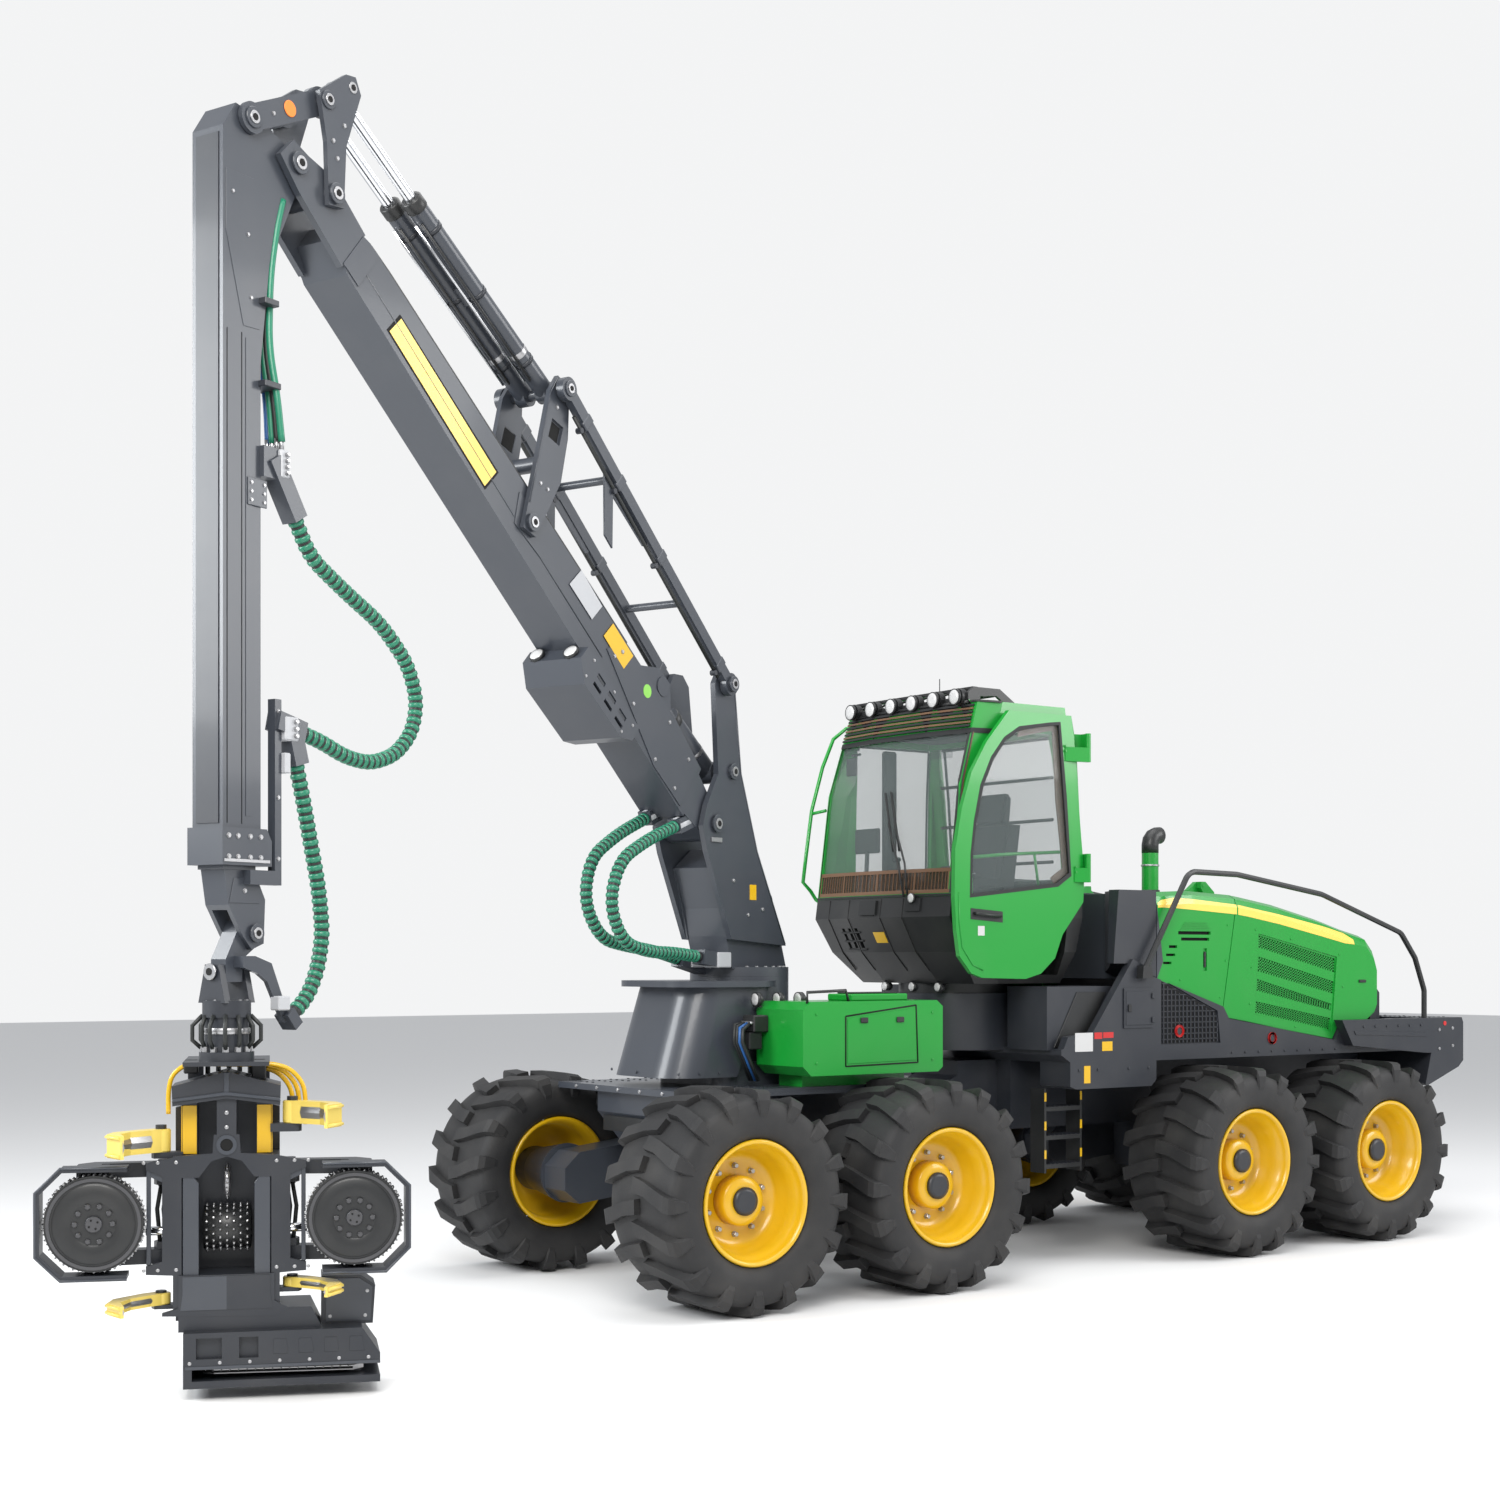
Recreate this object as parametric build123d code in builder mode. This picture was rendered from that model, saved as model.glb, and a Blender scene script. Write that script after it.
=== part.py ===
from build123d import *
from math import cos, hypot, pi, radians, sin, tan
import os

os.makedirs("parts", exist_ok=True)

# All sizes are in millimetres. X points forward, Y to the machine's left, Z up. The sizes below count from the
# foremost axle on the centre plane, at floor level, and each piece is moved by to_origin as it is written.
to_origin = (1520.0, -390.0, 0.0)
run_gap = 0.6  # between a turning piece and its seat
clear = 8.0  # between pieces that move past each other

# Wheels
axle_height = 672.5  # also the radius at the lugs' tips
tyre_width = 710.0
tyre_middle = 1140.0  # from the centre plane
lug_count = 16
root_radius = 632.0
rim_radius = 365.0
rim_wall = 26.0
rim_sides = 20
dish_depth = 235.0  # the rim's disc lies this far in from its outer edge
hub_radius = 200.0

# Axles and frames
bogie_pitch = 1500.0
front_bogie_x = -bogie_pitch / 2
rear_bogie_x = -5100.0
bogie_half = 75.0
steer_x = -2400.0
frame_half = 380.0
frame_top = 1250.0
frame_bottom = 900.0
deck_thick = 40.0
deck_half = 755.0
nose_x = 55.0
shelf_half = 1000.0
shelf_low = 1390.0
shelf_top = 1490.0
tail_x = -7260.0
tail_top = 1645.0
bumper_half = 1080.0
side_inner = 940.0  # the frame's side walls, from the centre plane
side_low = 1390.0
tow_x = tail_x + 90
tow_radius = 28.0
tow_low = 1500.0
tie_x = nose_x - 130
tie_y = 660.0
tie_radius = 30.0

# Engine, cowl and hood
engine_x = (-5650.0, -4250.0)
engine_top = 2150.0
hood_half = 975.0
hood_wall = 20.0
hood_hinge_z = 2665.0
seam_x = -4708.0
seam_top = 2585.0
seam_foot = (-4549.0, 1740.0)
# columns: x, lower edge, upper edge
cowl_line = (
    (-3862.0, 1968.0, 2590.0),
    (-4241.0, 1852.0, 2607.0),
    (seam_x, 1709.0, seam_top),
)
hood_line = (
    (-4535.0, 1766.0, 2595.0),
    (-4585.0, 1683.0, 2592.0),
    (seam_x, 1665.0, seam_top),
    (-4830.0, 1647.0, 2569.0),
    (-5174.0, 1590.0, 2519.0),
    (-5658.0, 1518.0, 2419.0),
    (-5773.0, 1500.0, 2391.0),
    (-5856.0, 1619.0, 2369.0),
    (-5990.0, 1628.0, 2335.0),
    (-6193.0, 1646.0, 2293.0),
    (-6279.0, 1700.0, 2206.0),
    (-6313.0, 1760.0, 2118.0),
)
mesh_window = ((-4938.0, 2302.0), (-5833.0, 2128.0), (-5773.0, 1551.0), (-4898.0, 1699.0))
# columns: front upper, rear upper, front lower and rear lower corner of each row of slots
mesh_rows = (
    ((-4950.0, 2287.0), (-5820.0, 2114.0), (-4950.0, 2197.0), (-5815.0, 2008.0)),
    ((-4950.0, 2130.0), (-5805.0, 1938.0), (-4940.0, 2020.0), (-5795.0, 1846.0)),
    ((-4935.0, 1962.0), (-5780.0, 1767.0), (-4928.0, 1876.0), (-5770.0, 1717.0)),
    ((-4922.0, 1796.0), (-5765.0, 1658.0), (-4912.0, 1712.0), (-5752.0, 1572.0)),
)
# columns: x from, x to, z from, z to
vents = (
    (-4420.0, -4080.0, 2288.0, 2312.0),
    (-4405.0, -4110.0, 2244.0, 2266.0),
    (-4070.0, -3985.0, 2190.0, 2210.0),
    (-4050.0, -3955.0, 2132.0, 2150.0),
    (-4010.0, -3925.0, 2074.0, 2092.0),
)

# Cab
cab_x = -2800.0
cab_floor = 2000.0
cab_half = 775.0
cab_rear = -520.0  # from the cab's turning axis
cab_sill = 2540.0
cab_roof = 3880.0
cab_middle = cab_roof - 580
cab_wall = 45.0
glass_thick = 8.0
corner_front = (670.0, 580.0, 400.0)  # the front corners at the sill, the middle and the roof
lean = (0.0, 16.0, 40.0)  # how far the sides lean in at those heights
swing_room = 1110.0  # radius that the turning cab and its door need
door_skin = (cab_half + 6, cab_half + 42)
door_top = cab_roof - 65
door_low = cab_floor - 26
door_hinges = (door_low + 676, door_top - 320)
# the door's outline and its window's, from the cab's axis and from the floor
door_outline = ((-489, door_low + 537), (-499, cab_sill + 156), (-457, cab_sill + 537), (-415, cab_roof - 348),
                (-373, door_top), (215, door_top),
                (419, cab_roof - 291), (556, cab_middle + 75), (644, cab_middle - 177), (701, cab_sill + 304),
                (708, cab_sill - 17),
                (692, door_low + 331), (663, door_low + 156), (556, door_low + 39), (459, door_low + 9), (60,
                        door_low), (-83, door_low + 36),
                (-216, door_low + 142), (-289, door_low + 308))
door_window = ((-373, cab_sill + 153), (-331, cab_middle - 76), (-268, cab_roof - 114), (-165, cab_roof - 125),
               (121, cab_roof - 169),
               (261, cab_roof - 252), (380, cab_middle + 188), (478, cab_middle - 9), (537, cab_sill + 499),
               (566, cab_sill + 278), (572, cab_sill - 15),
               (-247, cab_sill + 75))
doorway_front = 500.0
doorway_rear = -380.0
# columns: x, y and z of the block that each window is cut with: front, right, rear
windows = (
    ((cab_x + 250, cab_x + 900), (-cab_half + 70, cab_half - 70), (cab_sill + 30, cab_roof - 210)),
    ((cab_x - 400, cab_x + 330), (-cab_half - 200, -cab_half + 300), (cab_sill + 40, cab_roof - 190)),
    ((cab_x - 900, cab_x - 300), (-cab_half + 150, cab_half - 150), (cab_sill + 120, cab_roof - 190)),
)
hinge_x = cab_x - 505
hinge_y = door_skin[1] + 30
hinge_radius = 20.0
hinge_tall = 100.0

# Crane. Its points are given outwards from the slewing axis and upwards from the floor.
slew_x = -900.0
slew_angle = 22.5
fork_half = 195.0
fork_plate = 36.0
boom_half = 150.0
pin_radius = 42.0
lift_pin = (590.0, 2978.0)
link_foot = (485.0, 3880.0)
lift_foot = (395.0, 3326.0)
lift_eye = (1072.0, 3810.0)
rocker_pin = (2490.0, 4575.0)
rocker_top = (2220.0, 5383.0)
jib_pin = (4305.0, 6028.0)
lever_pin = (4086.0, 5938.0)
lever_top = (4135.0, 6392.0)
lever_rod = (lever_top[0] - 180, lever_top[1] + 123)
jib_eye = (4595.0, 6160.0)
jib_axis = 4638.0
jib_half = 102.0
jib_depth = 247.0
jib_wall = 12.0
jib_low = 2740.0
hang_pin = (4530.0, 2236.0)
rotator_top = 1930.0
rotator_low = 1640.0
link_near = fork_half + clear
link_far = link_near + 48.0

# Hoses, routed in the crane's own plane at a distance to the right or left of it
hose_radius = 40.0
hose_off = 100.0
fitting_half = 46.0
# columns: name, distance to the right, points outwards and upwards
hoses = (
    ("hose_column_right", hose_off, ((960, 3000), (1250, 2890), (1540, 2730), (1610, 2460), (1440, 2235),
                                     (1150, 2190),
                                     (870, 2165), (590, 2110))),
    ("hose_column_left", -hose_off, ((925, 2945), (1215, 2850), (1515, 2710), (1625, 2450), (1490, 2215),
                                     (1215, 2155),
                                     (930, 2150), (645, 2125))),
    ("hose_jib", -hose_off, ((4278, 4282), (4173, 4116), (3921, 3979), (3643, 3848), (3440, 3664), (3368, 3480),
                             (3408, 3310), (3542, 3180), (3734, 3120), (3921, 3139), (4090, 3200), (4243,
                                     3235))),
    ("hose_head", -hose_off, ((4271, 3071), (4222, 2901), (4173, 2704), (4110, 2456), (4085, 2230),
                              (4120, 2060),
                              (4190, 1925), (4300, 1835))),
)

# Head
head_turn = 67.0  # the open side's direction
head_top = 1580.0
head_pin = 26.0
arm_plates = (640.0, 1060.0)
arm_thick = 70.0
arm_across = 300.0
arm_forward = -120.0
roller_across = 600.0
roller_z = 870.0
roller_radius = 225.0
knife_across = 310.0
knife_forward = -80.0
saw_low = 110.0
saw_pivot = (600.0, -60.0)
# columns: name, side, low, high
knives = (
    ("upper_knife_left", -1, 1180.0, 1290.0),
    ("upper_knife_right", 1, 1310.0, 1420.0),
    ("lower_knife_left", -1, 445.0, 500.0),
    ("lower_knife_right", 1, 512.0, 560.0),
)
# columns: side, across, forward, low and high of the knuckle, low and high of the pin
knuckles = (
    (-1, knife_across, knife_forward, 1150.0, knives[0][2] - run_gap, 1150.0, knives[0][3] + 20),
    (1, knife_across, knife_forward, 1270.0, knives[1][2] - run_gap, 1270.0, knives[1][3] + 20),
    (-1, knife_across, knife_forward, 425.0, knives[2][2] - run_gap, 425.0, knives[2][3] + 10),
    (1, knife_across, knife_forward, 490.0, knives[3][2] - run_gap, 490.0, knives[3][3] + 10),
    (-1, arm_across, arm_forward, arm_plates[0] + arm_thick + run_gap, 745.0, arm_plates[0] - 10, 760.0),
    (1, arm_across, arm_forward, arm_plates[0] + arm_thick + run_gap, 745.0, arm_plates[0] - 10, 760.0),
    (-1, arm_across, arm_forward, 1020.0, arm_plates[1] - run_gap, 1010.0, arm_plates[1] + arm_thick + 10),
    (1, arm_across, arm_forward, 1020.0, arm_plates[1] - run_gap, 1010.0, arm_plates[1] + arm_thick + 10),
)

slew_cos = cos(radians(slew_angle))
slew_sin = sin(radians(slew_angle))
crane = Plane(origin=(slew_x, 0, 0), x_dir=(slew_cos, slew_sin, 0), z_dir=(slew_sin, -slew_cos, 0))
head_x = slew_x + jib_axis * slew_cos
head_y = jib_axis * slew_sin
head_cos = cos(radians(head_turn))
head_sin = sin(radians(head_turn))
head = Plane(origin=(head_x, head_y, 0), x_dir=(-head_sin, head_cos, 0), z_dir=(head_cos, head_sin, 0))


def keep(piece):
    moved = Pos(*to_origin) * piece
    moved.label = piece.label
    export_step(moved, f"parts/{piece.label}.step")


def slab(points, plane, half, mode=Mode.ADD):
    with BuildSketch(plane) as profile:
        Polygon(*points, align=None)
    extrude(profile.sketch, amount=half, both=True, mode=mode)


def disc(centre, plane, radius, half, mode=Mode.ADD):
    with BuildSketch(plane) as profile:
        with Locations(centre):
            Circle(radius)
    extrude(profile.sketch, amount=half, both=True, mode=mode)


def block(x, y, z, mode=Mode.ADD):
    with Locations((sum(x) / 2, sum(y) / 2, sum(z) / 2)):
        Box(x[1] - x[0], y[1] - y[0], z[1] - z[0], mode=mode)


def along(start, end, distance, side=0.0):
    run = hypot(end[0] - start[0], end[1] - start[1])
    ux, uz = (end[0] - start[0]) / run, (end[1] - start[1]) / run
    return (start[0] + ux * distance - uz * side, start[1] + uz * distance + ux * side)


def fitting(route, offset, length):
    # The block that a hose's first end comes out of, square to the hose
    slab([along(route[0], route[1], 0, -fitting_half), along(route[0], route[1], 0, fitting_half),
          along(route[0], route[1], -length, fitting_half), along(route[0], route[1], -length, -fitting_half)],
         crane.offset(offset), fitting_half)


def bar(start, end, near, far):
    # A tapered bar from start to end, near and far being its half depths
    run = hypot(end[0] - start[0], end[1] - start[1])
    return [along(start, end, 0, -near), along(start, end, run, -far), along(start, end, run, far),
            along(start, end, 0, near)]


def cowl_low(x):
    # The height of the engine cover's lower edge, which the frame's side walls carry
    front, rear = cowl_line[0], cowl_line[-1]
    return front[1] + (x - front[0]) * (rear[1] - front[1]) / (rear[0] - front[0])


# Wheels
side_y = tyre_width / 2
# columns: distance from the tyre's middle, root radius, tip radius, turn of the lug against the middle in degrees
tyre_rings = (
    (-side_y, root_radius - 72, axle_height - 32, -15.0),
    (-side_y + 65, root_radius - 10, axle_height - 2.5, -12.5),
    (0.0, root_radius + 2, axle_height, 0.0),
    (side_y - 65, root_radius - 10, axle_height - 2.5, -12.5),
    (side_y, root_radius - 72, axle_height - 32, -15.0),
)
pitch = 360.0 / lug_count
# columns: angle from the lug's first edge as a share of the pitch, whether the point is on the lug's tip
lug_steps = ((0.0, True), (0.36, True), (0.46, False), (0.90, False))
rings = []
for y, root, tip, turn in tyre_rings:
    ring = []
    for lug in range(lug_count):
        for share, high in lug_steps:
            angle = radians(-90 + (lug + share) * pitch + turn)
            radius = tip if high else root
            ring.append(Vector(radius * cos(angle), y, radius * sin(angle)))
    rings.append(ring)
tyre_faces = []
for near, far in zip(rings, rings[1:]):
    for i in range(len(near)):
        k = (i + 1) % len(near)
        tyre_faces.append(Face(Wire.make_polygon([near[i], near[k], far[k]])))
        tyre_faces.append(Face(Wire.make_polygon([near[i], far[k], far[i]])))
bead = [[Vector(rim_radius * cos(2 * pi * i / rim_sides), y,
                rim_radius * sin(2 * pi * i / rim_sides)) for i in range(rim_sides)]
        for y in (-side_y, side_y)]
for i in range(rim_sides):
    k = (i + 1) % rim_sides
    tyre_faces.append(Face(Wire.make_polygon([bead[0][i], bead[0][k], bead[1][k], bead[1][i]])))
for edge, inner in ((rings[0], bead[0]), (rings[-1], bead[1])):
    tyre_faces.append(Face(Wire.make_polygon(edge), [Wire.make_polygon(inner)]))
with BuildPart() as tyre:
    add(Solid(Shell(tyre_faces)))

rim_edge = side_y - 45.0
with BuildPart() as rim:
    with BuildSketch(Plane.XZ):
        RegularPolygon(rim_radius, rim_sides)
    extrude(amount=rim_edge, both=True)
    with BuildSketch(Plane.XZ.offset(-rim_edge)):
        RegularPolygon(rim_radius - rim_wall, rim_sides)
    extrude(amount=dish_depth, mode=Mode.SUBTRACT)
    with BuildSketch(Plane.XZ.offset(rim_edge)):
        RegularPolygon(rim_radius - rim_wall, rim_sides)
    extrude(amount=-(2 * rim_edge - dish_depth - 40), mode=Mode.SUBTRACT)
    with BuildSketch(Plane.XZ.offset(dish_depth - rim_edge)):
        RegularPolygon(150, 12)
    extrude(amount=-90)
disc_inner = rim_edge - dish_depth - 40  # the disc's inner face, from the tyre's middle

# columns: name, axle position, side
wheels = (
    ("front_left_1", 0.0, 1),
    ("front_left_2", -bogie_pitch, 1),
    ("front_right_1", 0.0, -1),
    ("front_right_2", -bogie_pitch, -1),
    ("rear_left_1", rear_bogie_x + bogie_pitch / 2, 1),
    ("rear_left_2", rear_bogie_x - bogie_pitch / 2, 1),
    ("rear_right_1", rear_bogie_x + bogie_pitch / 2, -1),
    ("rear_right_2", rear_bogie_x - bogie_pitch / 2, -1),
)
for name, x, side in wheels:
    place = Pos(x, side * tyre_middle, axle_height)
    for kind, solid in (("tyre", tyre.part), ("rim", rim.part)):
        sided = solid if side > 0 else mirror(solid, about=Plane.XZ)
        wheel_piece = place * sided
        wheel_piece.label = f"{kind}_{name}"
        keep(wheel_piece)

# Bogie cases with their hub drums
hub_end = tyre_middle + disc_inner - run_gap
case_near, case_far = 470.0, 740.0
for name, centre in (("front_bogies", front_bogie_x), ("rear_bogies", rear_bogie_x)):
    with BuildPart() as bogies:
        for side in (-1, 1):
            middle = side * (case_near + case_far) / 2
            case_plane = Plane.XZ.offset(-middle)
            with BuildSketch(case_plane) as case_side:
                with BuildLine():
                    Polyline(
                        (centre - bogie_pitch / 2 - 170, axle_height + 60),
                        (centre - bogie_pitch / 2 - 170, axle_height - 90),
                        (centre - bogie_pitch / 2 - 60, axle_height - 180),
                        (centre - 300, axle_height - 120),
                        (centre + 300, axle_height - 120),
                        (centre + bogie_pitch / 2 + 60, axle_height - 180),
                        (centre + bogie_pitch / 2 + 170, axle_height - 90),
                        (centre + bogie_pitch / 2 + 170, axle_height + 60),
                        (centre + bogie_pitch / 2 + 60, axle_height + 160),
                        (centre + 330, axle_height + 215),
                        (centre - 330, axle_height + 215),
                        (centre - bogie_pitch / 2 - 60, axle_height + 160),
                        close=True,
                    )
                make_face()
            extrude(case_side.sketch, amount=(case_far - case_near) / 2, both=True)
            for end in (-1, 1):
                with BuildSketch(Plane.XZ.offset(-side * case_far)) as drum_foot:
                    with Locations((centre + end * bogie_pitch / 2, axle_height)):
                        Circle(hub_radius)
                with BuildSketch(Plane.XZ.offset(-side * (hub_end - 120))) as drum_neck:
                    with Locations((centre + end * bogie_pitch / 2, axle_height)):
                        Circle(hub_radius * 0.75)
                loft([drum_foot.sketch.face(), drum_neck.sketch.face()])
                disc((centre + end * bogie_pitch / 2, axle_height), Plane.XZ.offset(-side * (hub_end - 60)),
                     hub_radius * 0.75, 60)
    bogies.part.label = name
    keep(bogies.part)

# Front frame: box, deck, axle beam, nose and the crane's seat
seat_radius = 330.0
skirt_top = 1990.0
column_low = skirt_top + clear
with BuildPart() as front_frame:
    slab(
        [(steer_x + 260, frame_bottom + 60), (steer_x + 420, frame_bottom), (nose_x - 260, frame_bottom),
         (nose_x - 80, frame_top - 140),
         (nose_x - 80, frame_top), (steer_x + 260, frame_top)],
        Plane.XZ, frame_half)
    block((steer_x + 500, nose_x), (-deck_half, deck_half), (frame_top, frame_top + deck_thick))
    block((front_bogie_x - 210, front_bogie_x + 210), (-case_near, case_near), (axle_height - 190,
            frame_bottom + 60))
    with BuildSketch(Plane.XY.offset(frame_top + deck_thick)) as pedestal_foot:
        with Locations((slew_x, 0)):
            RectangleRounded(900, 720, 120)
    with BuildSketch(Plane.XY.offset(column_low - run_gap)) as pedestal_top:
        with Locations((slew_x, 0)):
            Circle(seat_radius)
    extrude(pedestal_foot.sketch, amount=150)
    with BuildSketch(Plane.XY.offset(frame_top + deck_thick + 100)) as pedestal:
        with Locations((slew_x, 0)):
            Circle(seat_radius)
    extrude(pedestal.sketch, amount=column_low - run_gap - frame_top - deck_thick - 100)
    # hinge eyes of the middle joint
    block((steer_x + 120, steer_x + 300), (-190, 190), (frame_bottom + 110, frame_bottom + 200))
    with BuildSketch(Plane.XY.offset(frame_bottom + 110)) as hinge_eye:
        with Locations((steer_x, 0)):
            Circle(170)
        with Locations((steer_x + 110, 0)):
            Rectangle(220, 340)
    extrude(hinge_eye.sketch, amount=90)
    # eyes to tie the machine down by
    with BuildSketch(Plane.XY.offset(frame_top)) as tie_eyes:
        with Locations((tie_x, -tie_y), (tie_x, tie_y)):
            Circle(tie_radius)
    extrude(tie_eyes.sketch, amount=deck_thick, mode=Mode.SUBTRACT)
front_frame.part.label = "front_frame"
keep(front_frame.part)

box_low = frame_top + deck_thick + 80
skirt_back, skirt_nose = -1000.0, -80.0
skirt_half = 415.0
with BuildPart() as side_box:
    slab([(-1890, box_low + 30), (-1850, box_low), (-800, box_low), (-735, box_low + 60), (-735, 1790), (-800,
            1840), (-1840, 1840), (-1890, 1800)],
         Plane.XZ.offset(-680), 250)
    block((-1750, -900), (450, 700), (frame_top + deck_thick, box_low + 10))
side_box.part.label = "side_box"
keep(side_box.part)

skirt_wall = 14.0
skirt_foot_z = frame_top + deck_thick + 60
with BuildPart() as crane_skirt:
    # columns: wall depth, taken from the outline at the foot and at the head
    for inset, mode in ((0.0, Mode.ADD), (skirt_wall, Mode.SUBTRACT)):
        with BuildSketch(Plane.XY.offset(skirt_foot_z)) as skirt_foot:
            with Locations(((skirt_back + skirt_nose) / 2, 0)):
                RectangleRounded(skirt_nose - skirt_back - 2 * inset, 2 * (skirt_half - inset), 250 - inset)
        with BuildSketch(Plane.XY.offset(skirt_top - 60)) as skirt_head:
            with Locations(((skirt_back + skirt_nose - 180) / 2, 0)):
                RectangleRounded(skirt_nose - 180 - skirt_back - 2 * inset, 2 * (skirt_half - 25 - inset),
                                 230 - inset)
        loft([skirt_foot.sketch.face(), skirt_head.sketch.face()], mode=mode)
    # the skirt is open towards the cab and rises to the rear
    slab([(skirt_back - 50, skirt_foot_z - 50), (slew_x + 330, skirt_foot_z - 50), (slew_x + 240,
            skirt_foot_z + 170), (slew_x - 40, skirt_top + 50),
          (skirt_back - 50, skirt_top + 50)], Plane.XZ, 600, mode=Mode.SUBTRACT)
    with BuildSketch(Plane.XY.offset(skirt_top - 60)) as skirt_ring:
        with Locations(((skirt_back + skirt_nose - 60) / 2, 0)):
            RectangleRounded(skirt_nose - 60 - skirt_back, 2 * (skirt_half + 40), 260)
        with Locations((slew_x, 0)):
            Circle(seat_radius + run_gap, mode=Mode.SUBTRACT)
        with Locations((slew_x - 330, 0)):
            Rectangle(600, 1200, mode=Mode.SUBTRACT)
    extrude(skirt_ring.sketch, amount=40)
crane_skirt.part.label = "crane_skirt"
keep(crane_skirt.part)

# Rear frame
hinge_low = frame_bottom + 110 - run_gap
hinge_high = frame_bottom + 200 + run_gap
cover_half = 900.0
wing_front = cab_x - 630
with BuildPart() as rear_frame:
    # the wings behind the cab, hollowed round its turning circle
    for side in (-1, 1):
        slab([(wing_front, cab_floor + 80), (wing_front - 10, cab_floor + 200), (wing_front - 50,
                cab_floor + 600), (-3855, cab_floor + 600),
              (-3855, cab_floor - 20), (-3600, cab_floor + 80)], Plane.XZ.offset(-side * 767), 207)
    with BuildSketch(Plane.XY.offset(cab_floor - 100)) as swing_circle:
        with Locations((cab_x, 0)):
            Circle(swing_room)
    extrude(swing_circle.sketch, amount=900, mode=Mode.SUBTRACT)
    # the side walls, with a sunk grille and a small door
    for side in (-1, 1):
        wall = Plane.XZ.offset(-side * (side_inner + shelf_half) / 2)
        face = Plane.XZ.offset(-side * shelf_half)
        wall_half = (shelf_half - side_inner) / 2
        slab([(-2964, 1573), (-3200, 1600), (-3470, 1950), (-3595, 2110), (-3725, 2060), (-3734,
                cowl_low(-3734) - run_gap),
              (-4530, cowl_low(-4530) - run_gap), (-4590, hood_line[1][1] - clear), (-4830,
                      hood_line[3][1] - clear), (-5780, hood_line[6][1] - clear),
              (-5865, hood_line[7][1] - clear), (-6200, hood_line[9][1] - clear), (-6500, tail_top), (-6500,
                      side_low), (-3000, side_low), (-2900, 1450)],
             wall, wall_half)
        slab([(-3879, 1970), (-4466, 1735), (-4497, 1500), (-3879, 1500)], face, 18, mode=Mode.SUBTRACT)
        slab([(-3497, 1905), (-3793, 1905), (-3793, 1625), (-3497, 1625)], face, 10)
        # the beam over the wheel and the covers under the cab
        slab([(-2985, 1400), (-2985, 1230), (-3040, 1210), (-3780, 1210), (-3830, 1255), (-3830, 1400)],
             Plane.XZ.offset(-side * 850), 150)
        slab([(cab_x - 60, 1480), (cab_x - 60, cab_floor - 80), (cab_x - 690, cab_floor - 80), (cab_x - 450,
                1480)], Plane.XZ.offset(-side * 700), 200)
        # the bumper's side bands
        slab([(-5765, tail_top), (-5892, 1448), (-6800, 1370), (-6870, 1370), (-6870, tail_top)],
             Plane.XZ.offset(-side * (shelf_half + 40)), 40)
    block((-6900, -3000), (-frame_half, frame_half), (frame_bottom, shelf_low))
    block((-3000, steer_x - 230), (-230, 230), (frame_bottom, shelf_low))
    for low, high in ((hinge_low - 90, hinge_low), (hinge_high, hinge_high + 90)):
        with BuildSketch(Plane.XY.offset(low)) as fork_eye:
            with Locations((steer_x, 0)):
                Circle(160)
            with Locations((steer_x - 130, 0)):
                Rectangle(260, 320)
        extrude(fork_eye.sketch, amount=high - low)
    slab([(-6950, shelf_low + 30), (-6850, shelf_low), (-3000, shelf_low), (-2900, shelf_low + 60), (-2900,
            shelf_top), (-6950, shelf_top)],
         Plane.XZ, shelf_half)
    slab([(tail_x, 1300), (tail_x + 60, 1250), (-6800, 1110), (-6780, 1125), (-6850, shelf_low - 20), (-6850,
            tail_top), (tail_x + 20, tail_top),
          (tail_x, tail_top - 40)], Plane.XZ, bumper_half)
    # the cap behind the hood and the box on the bumper
    slab([(-6348, 1640), (-6430, 1640), (-6417, 1963), (-6360, 2118), (-6330, 2118)], Plane.XZ, 880)
    slab([(-6348, shelf_top - 10), (-6430, shelf_top - 10), (-6430, 1650), (-6348, 1650)], Plane.XZ, 880)
    slab([(-6520, shelf_top - 10), (-6800, shelf_top - 10), (-6800, 1840), (-6760, 1880), (-6560, 1880),
          (-6520, 1840)], Plane.XZ, 620)
    block((rear_bogie_x - 210, rear_bogie_x + 210), (-case_near, case_near), (axle_height - 190,
            frame_bottom + 60))
    with BuildSketch(Plane.XY.offset(shelf_top - 20)) as pedestal:
        with Locations((cab_x, 0)):
            Circle(420)
        with Locations((cab_x - 250, 0)):
            Rectangle(500, 840)
    extrude(pedestal.sketch, amount=cab_floor - 130 - run_gap - shelf_top + 20)
    slab([(-3060, shelf_low), (-2900, shelf_low), (-2560, shelf_low - 130), (-2560, frame_bottom + 300),
          (-3060, frame_bottom + 300)], Plane.XZ, 230)
    # the tail's towing pocket with its pin's hole
    block((tail_x - 20, tail_x + 150), (-110, 110), (tow_low - 90, tow_low), mode=Mode.SUBTRACT)
    with BuildSketch(Plane.XY.offset(tail_top)) as tow_hole:
        with Locations((tow_x, 0)):
            Circle(tow_radius)
    extrude(tow_hole.sketch, amount=-380, mode=Mode.SUBTRACT)
    # the engine, one plain block under the hood
    block(engine_x, (-450, 450), (shelf_top - 10, engine_top))
rear_frame.part.label = "rear_frame"
keep(rear_frame.part)


def shell_section(station, inset):
    # A section of the engine's covers across the machine, with its top edges rounded off
    x, low, high = station
    half, top = hood_half - inset, high - inset
    with BuildSketch(Plane.YZ.offset(x)) as across:
        Polygon((-half, low), (-half, top - 95), (-half + 24, top - 32), (-half + 90, top), (half - 90, top),
                (half - 24, top - 32),
                (half, top - 95), (half, low), align=None)
    return across.sketch.face()


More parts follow.
